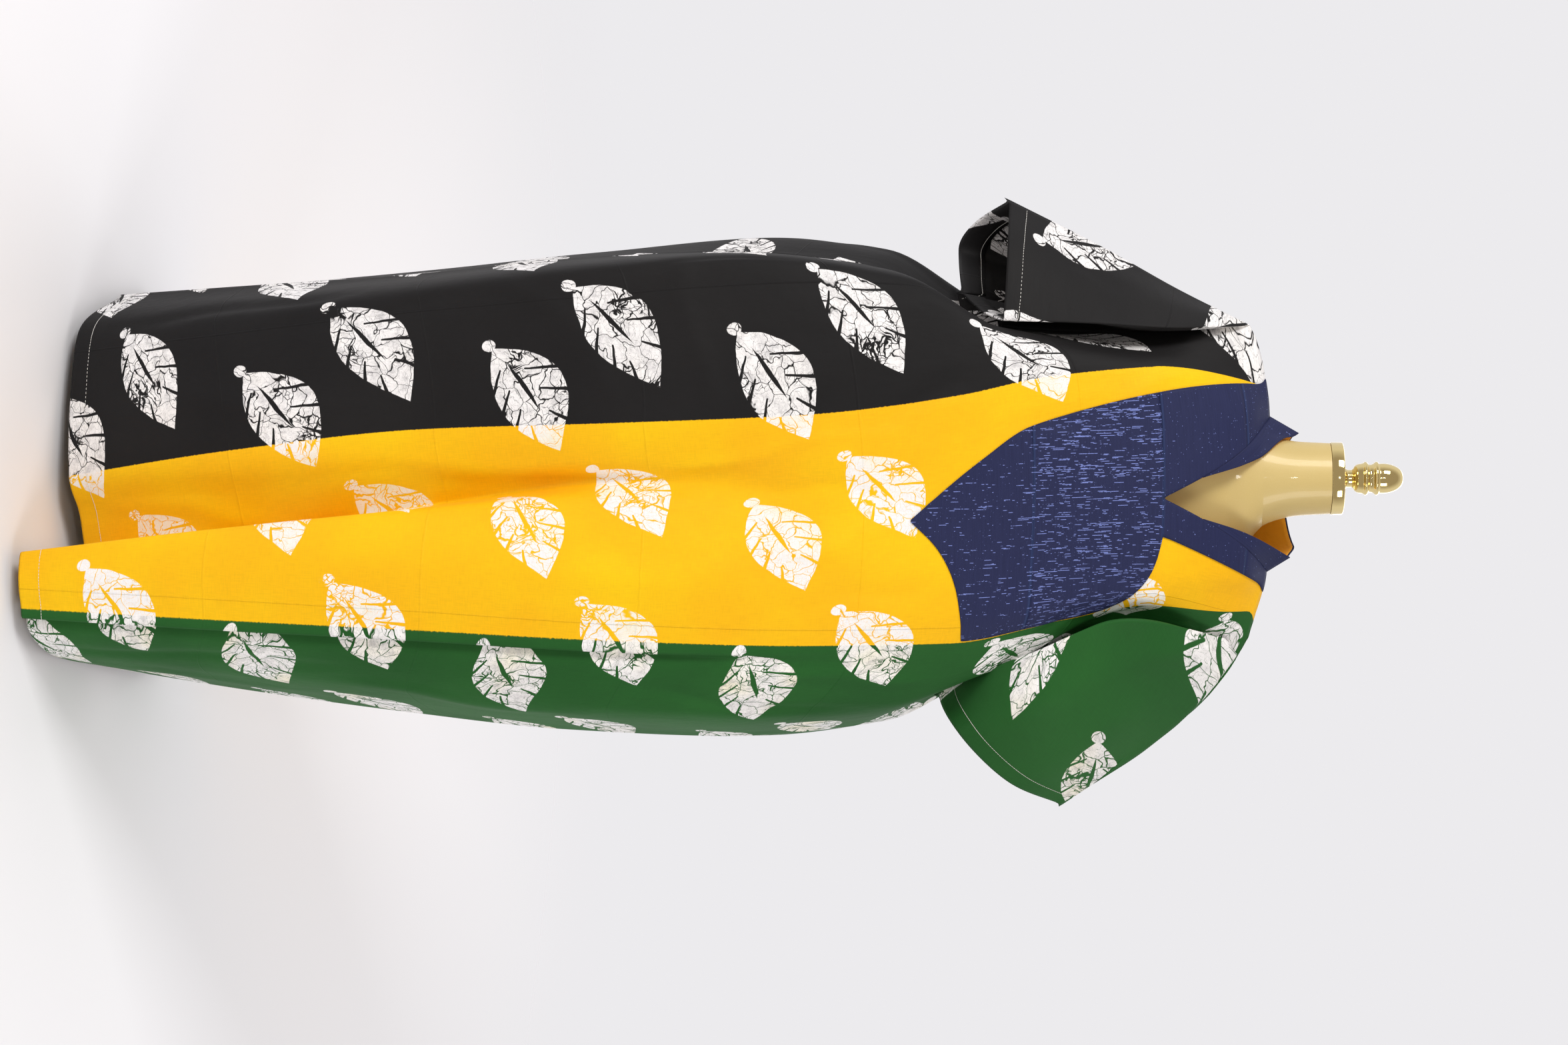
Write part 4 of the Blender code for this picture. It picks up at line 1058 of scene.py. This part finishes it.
def strip(name, node, top, bottom, left, right, finish, row_step=YOKE_STEP):
    """One woven strip, laid on the front between two outlines."""
    sheet = Sheet("front")
    rows = max(3, round((bottom - top) / row_step))
    widest = max(right(v) - left(v) for v in np.linspace(top, bottom, 9))
    columns = max(3, round(widest / YOKE_STEP))
    area = 0.0
    for r in range(rows + 1):
        v = top + (bottom - top) * r / rows
        a, b = left(v), right(v)
        area += (b - a) * (bottom - top) / rows * (0.5 if r in (0, rows) else 1)
        for c in range(columns + 1):
            u = a + (b - a) * c / columns
            rim = min(c, columns - c) == 0
            sheet.add(on_front(u, v, YOKE_LIFT - (0.0004 if rim else 0)), (u, v))
    for r in range(rows):
        for c in range(columns):
            i = r * (columns + 1) + c
            sheet.face(-1, i + 1, i, i + columns + 1, i + columns + 2)
    piece = cloth_piece(name, sheet, STRIP_CLOTH, finish)
    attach(piece, "root")
    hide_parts(node)
    return piece


# %% Navy weave with metallic threads
METAL_THREADS = 980.0     # warp threads a metre that can carry metal


def woven_strip(name):
    """Navy strip cloth: seams between the courses, and metal on some of the warp threads."""
    made, tree, shader = new_material(name, 0.60, Specular_IOR_Level=0.22)
    u, v, cut = flat_place(tree)
    # dashes of metallic thread: each lies on one warp thread, more or fewer of them by course
    thread = (u * METAL_THREADS).math("FLOOR")
    off_thread = (u * METAL_THREADS - thread - 0.5).math("ABSOLUTE")
    chance = noise(tree, vector(tree, thread * 7.31, v * 44.0), 1.0, 3.0, 0.65)
    groups = noise(tree, vector(tree, u * 60.0, v * 7.0), 1.0, 2.0)
    chest = v.step(STRIP_SEAMS[2] - 0.002, STRIP_SEAMS[2]) * (v.step(0.32, 0.325) * -0.35 + 1.0)
    dense = chest * 0.130 + (groups - 0.5) * 0.20
    dash = (chance + dense - 0.70).step(0.0, 0.03) * (off_thread * -1.0 + 0.36).step(0.0, 0.10)
    speck = (noise(tree, vector(tree, thread * 3.17, v * 420.0), 1.0, 1.0) - 0.715).step(0.0, 0.03)
    speck = speck * (off_thread * -1.0 + 0.36).step(0.0, 0.10)
    metal = dash.math("MAXIMUM", speck * (chest * -0.6 + 1.0))
    tone = noise(tree, vector(tree, u * 20.0, v * 700.0), 1.0, 2.0)
    navy = mix_colour(tree, tone, (0.011, 0.014, 0.056), (0.022, 0.028, 0.094))
    seam = None
    for at in STRIP_SEAMS[1:4]:
        near = (((v - at - (u - 0.03) * 0.02).math("ABSOLUTE")) * -1.0 + 0.0028).step(0.0, 0.0022)
        seam = near if seam is None else seam.math("MAXIMUM", near)
    ground = mix_colour(tree, seam * 0.55, navy, (0.026, 0.048, 0.14))
    tree.links.new(mix_colour(tree, metal * 0.95, ground, (0.30, 0.38, 0.88)),
                   shader.inputs["Base Color"])
    tree.links.new((metal * 0.35).socket, shader.inputs["Metallic"])
    ribs = weave(u, v, 560.0)
    relief = ribs * 0.16 + metal * 0.22 + seam * 0.9 + noise(tree, cut, 30.0, 3.0) * 1.1
    bump(tree, shader, relief, 0.0012, 0.6)
    return made


navy_strip = woven_strip("woven_strip")
NECK_LAP = 0.0014         # the strips reach past the cotton's edge at the neck


def yoke_left(v):
    return outline(YOKE_LEFT, v)


def neck_left(v):
    return -neck_edge("front", v) + NECK_LAP


def neck_right(v):
    return neck_edge("front", v) - NECK_LAP


def strap_right(v):
    return outline(STRAP_RIGHT, v)


def yoke_right(v):
    return outline(YOKE_RIGHT, v)


shoulder_v, collarbone_v, chest_v, waist_v, tip_v = STRIP_SEAMS
# piece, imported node, top, bottom, left outline, right outline, step down the cloth
COURSES = (
    ("strip_shoulder_right", "yoke_shoulder_right", shoulder_v + .001, collarbone_v,
     yoke_left, neck_left, .0045),
    ("strip_shoulder_left", "yoke_shoulder_left", shoulder_v + .001, collarbone_v,
     neck_right, strap_right, .0045),
    ("strip_neck_right", "yoke_neck_right", collarbone_v, chest_v, yoke_left, neck_left, .0045),
    ("strip_neck_left", "yoke_neck_left", collarbone_v, chest_v, neck_right, strap_right, .0045),
    ("strip_chest", "yoke_chest", chest_v, waist_v, yoke_left, yoke_right, .003),
    ("strip_point", "yoke_point", waist_v, tip_v - 0.001, yoke_left, yoke_right, .002),
)
for name, node, top, bottom, left, right, step in COURSES:
    strip(name, node, top, bottom, left, right, navy_strip, step)
print(len(COURSES), "strips on the yoke")

# %% [markdown]
# ## The collar
# A stand collar of the same strip cloth goes around the back of the neck and runs out down
# both sides of the V. A yellow facing lies inside it. Both are made from the neck edge: at
# each place along it a few points rise, leaning in towards the neck.

# %% Collar and facing
# sections of the bust: z, half width, half depth, centre y
FORM_SECTIONS = (
    (0.770, 0.105, 0.070, 0.004), (0.785, 0.128, 0.088, 0.004), (0.880, 0.158, 0.102, 0.004),
    (0.960, 0.150, 0.092, 0.002), (1.060, 0.120, 0.078, -0.004), (1.150, 0.132, 0.086, -0.008),
    (1.240, 0.148, 0.100, -0.012), (1.310, 0.150, 0.096, -0.008), (1.380, 0.150, 0.080, 0.002),
    (1.430, 0.142, 0.068, 0.006), (1.462, 0.112, 0.058, 0.006), (1.484, 0.088, 0.054, 0.004),
    (1.506, 0.059, 0.049, 0.002), (1.526, 0.0505, 0.0475, 0.001), (1.548, 0.0460, 0.0460, 0.000),
    (1.588, 0.0435, 0.0435, 0.000),
)
COLLAR_HEIGHT = 0.041
COLLAR_CLOTH = 0.0010
FACING_CLOTH = 0.0009
FACING_GAP = 0.0004
FACING_DROP = 0.0015     # from the collar's top to its facing's
COLLAR_RUN = 0.118       # how far down the V the collar runs out
COLLAR_RUN_POWER = 1.15
COLLAR_STEPS = 10        # faces up the collar
COLLAR_MIDDLE = np.array((0.020, 0.008, 0.0))            # what the collar leans towards
LEVEL_LEAN = 1.5         # at this lean the collar's sides head straight across
LEVEL_SHARE = 0.85       # and lose this share of their way back
UP = np.array((0, 0, 1.0))
FORM_CLEAR = 0.0050      # from the form to the collar
# the collar's lean inwards and its share of the height, along the neck edge from the tip of
# the V on the left of the front (0), round the back (0.5), to the tip on the right (1)
COLLAR_LEANS = ((0.0, 2.4), (0.12, 1.4), (0.20, 0.92), (0.27, 0.66), (0.38, 0.35), (0.5, 0.28),
                (0.62, 0.36), (0.73, 0.70), (0.88, 1.5), (1.0, 2.4))
COLLAR_SHARES = ((0.0, 1.0), (0.35, 1.0), (0.5, 1.15), (0.64, 1.22), (0.70, 0.82), (0.76, 0.80),
                 (1.0, 1.0))


def read_table(rows, at):
    """The values at a place, from rows of place, values."""
    return spline([row[0] for row in rows], [row[1:] for row in rows], at)[0]


def collar_stations():
    """Places along the neck edge, each with its share of the collar's height."""
    down = np.linspace(COLLAR_RUN - 0.002, 0.004, 30)
    stations = [(body_points(FRONT_LINES, -neck_edge("front", v), v)[0],
                 (1 - v / COLLAR_RUN) ** COLLAR_RUN_POWER) for v in down]
    for angle in np.linspace(0, math.pi, 45):
        u, v = -NECK_U * math.cos(angle), BACK_NECK_V * math.sin(angle)
        stations.append((body_points(BACK_LINES, u, v)[0], 1.0))
    return stations + [(body_points(FRONT_LINES, neck_edge("front", v), v)[0],
                        (1 - v / COLLAR_RUN) ** COLLAR_RUN_POWER) for v in down[::-1]]


def clear_of_form(place):
    """A place, moved out level where it would come too close to the form."""
    width, depth, middle = read_table(FORM_SECTIONS, place[2])
    x, y = place[0], place[1] - middle
    nearness = min(1.0, math.hypot(x / (width + FORM_CLEAR), y / (depth + FORM_CLEAR)))
    return np.array((x / nearness, middle + y / nearness, place[2]))


def stand_collar(name, node, inset, cloth, height, finish):
    """A sheet that rises along the neck edge; inset is how far it lies inside the collar."""
    sheet = Sheet("front")
    run, before, tops = 0.0, None, []
    stations = collar_stations()
    for n, (place, share) in enumerate(stations):
        if before is not None:
            run += np.linalg.norm(place - before)
        before = place
        turn = n / (len(stations) - 1)
        lean = read_table(COLLAR_LEANS, turn)[0]
        share = share * read_table(COLLAR_SHARES, turn)[0]
        ahead = 1 - LEVEL_SHARE * min(1.0, lean / LEVEL_LEAN)
        inward = (COLLAR_MIDDLE - place) * (1, ahead, 0)
        inward /= np.linalg.norm(inward)
        rise = UP + inward * lean
        rise /= np.linalg.norm(rise)
        out = -inward + UP * lean
        out /= np.linalg.norm(out)
        start = place + out * YOKE_LIFT
        tops.append((run, height * share))
        for k in range(COLLAR_STEPS + 1):
            up = height * share * k / COLLAR_STEPS
            sheet.add(clear_of_form(start + rise * up) - out * inset, (run, up))
    for s in range(len(stations) - 1):
        for k in range(COLLAR_STEPS):
            i = s * (COLLAR_STEPS + 1) + k
            sheet.face(-1, i, i + 1, i + COLLAR_STEPS + 2, i + COLLAR_STEPS + 1)
    piece = cloth_piece(name, sheet, cloth, finish)
    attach(piece, "root")
    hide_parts(node)
    area = sum((b[0] - a[0]) * (a[1] + b[1]) / 2 for a, b in zip(tops, tops[1:]))
    return piece


def plain_cotton(name, colour):
    """Cotton in one colour, a little uneven."""
    made, tree, shader = new_material(name, 0.75, Sheen_Weight=0.12)
    u, v, cut = flat_place(tree)
    cloud = noise(tree, cut, 40.0, 3.0)
    deeper = tuple(c * 0.8 for c in colour)
    tree.links.new(mix_colour(tree, cloud, colour, deeper), shader.inputs["Base Color"])
    bump(tree, shader, weave(u, v, 900.0) * 0.05 + cloud, 0.002, 0.5)
    return made


facing_cotton = plain_cotton("facing_cotton", (0.95, 0.40, 0.004))
stand_collar("stand_collar", "collar", 0.0, COLLAR_CLOTH, COLLAR_HEIGHT,
             navy_strip)
stand_collar("collar_lining", "collar_facing", COLLAR_CLOTH + FACING_GAP,
             FACING_CLOTH, COLLAR_HEIGHT - FACING_DROP, facing_cotton)
print("collar and facing")

# %% [markdown]
# ## Topstitching
# White stitches hold the turned hems. One stitch is a small bar with its ends pulled down
# into the cloth. It is modelled once, then laid along each line of the cut, as many times as
# the line has stitches.

# %% One stitch and where it goes
STITCH_LENGTH = 0.0027
STITCH_STEP = 0.0036
STITCH_WIDTH = 0.0006


def stitch_line(points, normals_out, verts, faces):
    """Adds a stitch between each pair of neighbouring places."""
    for a, b, out in zip(points, points[1:], normals_out):
        along = b - a
        length = np.linalg.norm(along)
        along = along / length
        side = np.cross(out, along)
        side /= max(np.linalg.norm(side), 1e-9)
        start = a + along * (length - STITCH_LENGTH) / 2
        base = len(verts)
        for share, high in ((0.0, -0.5), (0.25, 0.75), (0.75, 0.75), (1.0, -0.5)):
            centre = start + along * STITCH_LENGTH * share + out * STITCH_WIDTH * high * 0.6
            for s, h in ((-0.5, 0.0), (0.0, 0.5), (0.5, 0.0), (0.0, -0.5)):
                verts.append(tuple(centre + side * STITCH_WIDTH * s + out * STITCH_WIDTH * h * 0.7))
        for k in range(3):
            for c in range(4):
                d = (c + 1) % 4
                i = base + 4 * k
                faces.append((i + c, i + d, i + 4 + d, i + 4 + c))
        faces.append((base + 3, base + 2, base + 1, base))
        faces.append((base + 12, base + 13, base + 14, base + 15))


def cut_path(reader, start, end, sink=0.0006):
    """Places a stitch apart along a straight line of the cut, and the way out at each."""
    start, end = np.array(start), np.array(end)
    count = max(2, round(np.linalg.norm(end - start) / STITCH_STEP))
    flat = [start + (end - start) * i / count for i in range(count + 1)]
    points = [reader(*place, sink) for place in flat]
    above = [reader(*place, sink + 0.001) for place in flat]
    outs = [(b - a) / max(np.linalg.norm(b - a), 1e-9) for a, b in zip(points, above)]
    return points, outs


def stitches(name, lines, finish):
    """All the stitches along some lines of the cut, as one piece."""
    verts, faces = [], []
    for reader, start, end, sink in lines:
        points, outs = cut_path(reader, start, end, sink)
        if sink < 0:
            outs = [-out for out in outs]
        stitch_line(points, outs, verts, faces)
    mesh = bpy.data.meshes.new(name)
    mesh.from_pydata(verts, [], faces)
    mesh.materials.append(finish)
    piece = bpy.data.objects.new(name, mesh)
    bpy.context.collection.objects.link(piece)
    deselect_all()
    piece.select_set(True)
    bpy.context.view_layer.objects.active = piece
    bpy.ops.object.mode_set(mode="EDIT")
    bpy.ops.mesh.select_all(action="SELECT")
    bpy.ops.mesh.normals_make_consistent(inside=False)
    bpy.ops.object.mode_set(mode="OBJECT")
    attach(piece, "root")
    print(name, len(faces) // 14, "stitches")
    return piece


thread, tree, shader = new_material("white_thread", 0.6)
twist = noise(tree, tree.nodes.new("ShaderNodeTexCoord").outputs["Object"], 900.0)
tree.links.new(mix_colour(tree, twist, (0.86, 0.84, 0.80), (0.62, 0.60, 0.56)),
               shader.inputs["Base Color"])
hem_stitch_v = HEM_V - HEM_TURN + 0.004
cuff_stitch_u = CUFF_U - CUFF_TURN + 0.003
OUTSIDE, INSIDE = 0.00055, -0.0024       # how far the stitches lie off the middle of the cloth
sewing = []
for reader in (on_front, on_back):
    sewing.append((reader, (-SIDE_U + .002, hem_stitch_v), (SIDE_U - .002, hem_stitch_v), OUTSIDE))
    for side in (-1, 1):
        sewing.append((reader, (side * cuff_stitch_u, 0.004),
                       (side * cuff_stitch_u, UNDERARM_V - 0.003), OUTSIDE))
stitches("hem_stitches", sewing, thread)
inner = [(on_back, (side * cuff_stitch_u, 0.004), (side * cuff_stitch_u, UNDERARM_V - 0.003),
          INSIDE) for side in (-1, 1)]
stitches("cuff_stitches_inside", inner, thread)

# %% [markdown]
# ## The dress form
# The bust is a moulded shell with no arms, lacquered in pearl gold. Its neck ends in a turned
# cap with a finial. All of these are rings on one axis. A filled circle is added at the
# bottom, then extruded upwards again and again, each time resized to the next ring's size,
# as one does by hand.

# %% Build a body ring by ring
def ringed(name, rings, sides, finish, node, smooth_degrees=35):
    """A body through rings of z, half width, half depth and middle y, extruded upwards."""
    deselect_all()
    z, width, depth, middle = rings[0]
    bpy.ops.mesh.primitive_circle_add(vertices=sides, radius=1.0, fill_type="NGON",
                                      location=(0, middle, z))
    piece = bpy.context.object
    piece.name = name
    bpy.ops.object.mode_set(mode="EDIT")
    bpy.ops.mesh.select_all(action="SELECT")
    bpy.ops.transform.resize(value=(width, depth, 1))
    for (z0, w0, d0, m0), (z1, w1, d1, m1) in zip(rings, rings[1:]):
        bpy.ops.mesh.extrude_region_move(
            TRANSFORM_OT_translate={"value": (0, m1 - m0, z1 - z0)})
        bpy.ops.transform.resize(value=(w1 / w0, d1 / d0, 1))
    bpy.ops.mesh.select_all(action="SELECT")
    bpy.ops.mesh.fill_holes(sides=0)
    bpy.ops.mesh.normals_make_consistent(inside=False)
    bpy.ops.object.mode_set(mode="OBJECT")
    bpy.ops.object.transform_apply(location=True, rotation=True, scale=True)
    bpy.ops.object.shade_smooth_by_angle(angle=math.radians(smooth_degrees))
    piece.data.materials.append(finish)
    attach(piece, "root")
    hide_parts(node)
    print(name, len(rings), "rings,", len(piece.data.polygons), "faces")
    return piece


def turned_rings(profile, step):
    """Rings along a turned profile of radius, z; a smooth curve where step is given."""
    if not step:
        return [(z, r, r, 0.0) for r, z in profile]
    run = [0.0]
    for (r0, z0), (r1, z1) in zip(profile, profile[1:]):
        run.append(run[-1] + math.hypot(r1 - r0, z1 - z0))
    count = round(run[-1] / step)
    places = sorted(set(run) | {run[-1] * i / count for i in range(count + 1)})
    return [(z, r, r, 0.0) for r, z in spline(run, profile, places)]


# %% Finishes of the stand
def pearl_gold(name):
    """Satin lacquer with fine pale flakes in it."""
    made, tree, shader = new_material(name, 0.48, Metallic=0.05, Coat_Weight=0.16,
                                      Coat_Roughness=0.05)
    place = tree.nodes.new("ShaderNodeTexCoord").outputs["Object"]
    flakes = noise(tree, place, 2600.0, 1.0)
    cloud = noise(tree, place, 8.0, 2.0)
    gold = mix_colour(tree, cloud, (0.62, 0.46, 0.165), (0.66, 0.50, 0.19))
    tree.links.new(mix_colour(tree, flakes.step(0.55, 0.8) * 0.35, gold, (0.85, 0.72, 0.42)),
                   shader.inputs["Base Color"])
    bump(tree, shader, noise(tree, place, 60.0, 2.0), 0.0004, 0.25)
    return made


def polished(name, colour, roughness):
    """Polished metal with a faint haze."""
    made, tree, shader = new_material(name, roughness, Metallic=1.0)
    place = tree.nodes.new("ShaderNodeTexCoord").outputs["Object"]
    haze = noise(tree, place, 30.0, 3.0)
    duller = tuple(c * 0.93 for c in colour)
    tree.links.new(mix_colour(tree, haze, colour, duller), shader.inputs["Base Color"])
    rough = haze * 0.05 + roughness
    tree.links.new(rough.socket, shader.inputs["Roughness"])
    return made


pearl = pearl_gold("pearl_gold_lacquer")
plate = polished("gold_plate", (0.86, 0.69, 0.32), 0.04)
steel = polished("stand_steel", (0.72, 0.72, 0.73), 0.12)

# %% Bust, neck cap, finial, pole and base
heights = [row[0] for row in FORM_SECTIONS]
levels = sorted(set(heights) | set(np.arange(heights[0], heights[-1], 0.008)))
bust_rings = [(z, *spline(heights, [row[1:] for row in FORM_SECTIONS], z)[0]) for z in levels]
bust = ringed("bust", bust_rings, 96, pearl, "form_torso", 60)

CAP_PROFILE = ((.0436, 1.5884), (.0443, 1.5886), (.0446, 1.5892), (.0446, 1.6016),
               (.0442, 1.6025), (.0434, 1.6030))
FINIAL_PROFILE = ((.0145, 1.6034), (.0146, 1.6043), (.0135, 1.6060), (.0112, 1.6085),
                  (.0106, 1.6105), (.0106, 1.6138), (.0120, 1.6158), (.0150, 1.6175),
                  (.0172, 1.6205), (.0182, 1.6245), (.0186, 1.6270), (.0201, 1.6293),
                  (.0206, 1.6305), (.0200, 1.6320), (.0176, 1.6345), (.0170, 1.6365),
                  (.0176, 1.6390), (.0199, 1.6420), (.0206, 1.6435), (.0201, 1.6450),
                  (.0182, 1.6472), (.0183, 1.6520), (.0176, 1.6580), (.0160, 1.6635),
                  (.0132, 1.6690), (.0094, 1.6730), (.0048, 1.6750), (.0006, 1.6755))
BASE_PROFILE = ((.1030, .0), (.1045, .0005), (.1050, .0020), (.1050, .0070), (.1043, .0090),
                (.1020, .0100), (.0300, .0130), (.0240, .0150), (.0215, .0190), (.0200, .0300))
cap = ringed("cap", turned_rings(CAP_PROFILE, 0), 128, plate, "neck_cap")
knob = ringed("finial_knob", turned_rings(FINIAL_PROFILE, 0.0007), 96, plate, "finial",
              60)
foot = ringed("foot", turned_rings(BASE_PROFILE, 0), 128, steel, "base")
POLE_PROFILE = ((.0125, .0304), (.0125, .7696))
post = ringed("post", turned_rings(POLE_PROFILE, 0), 48, steel, "pole")
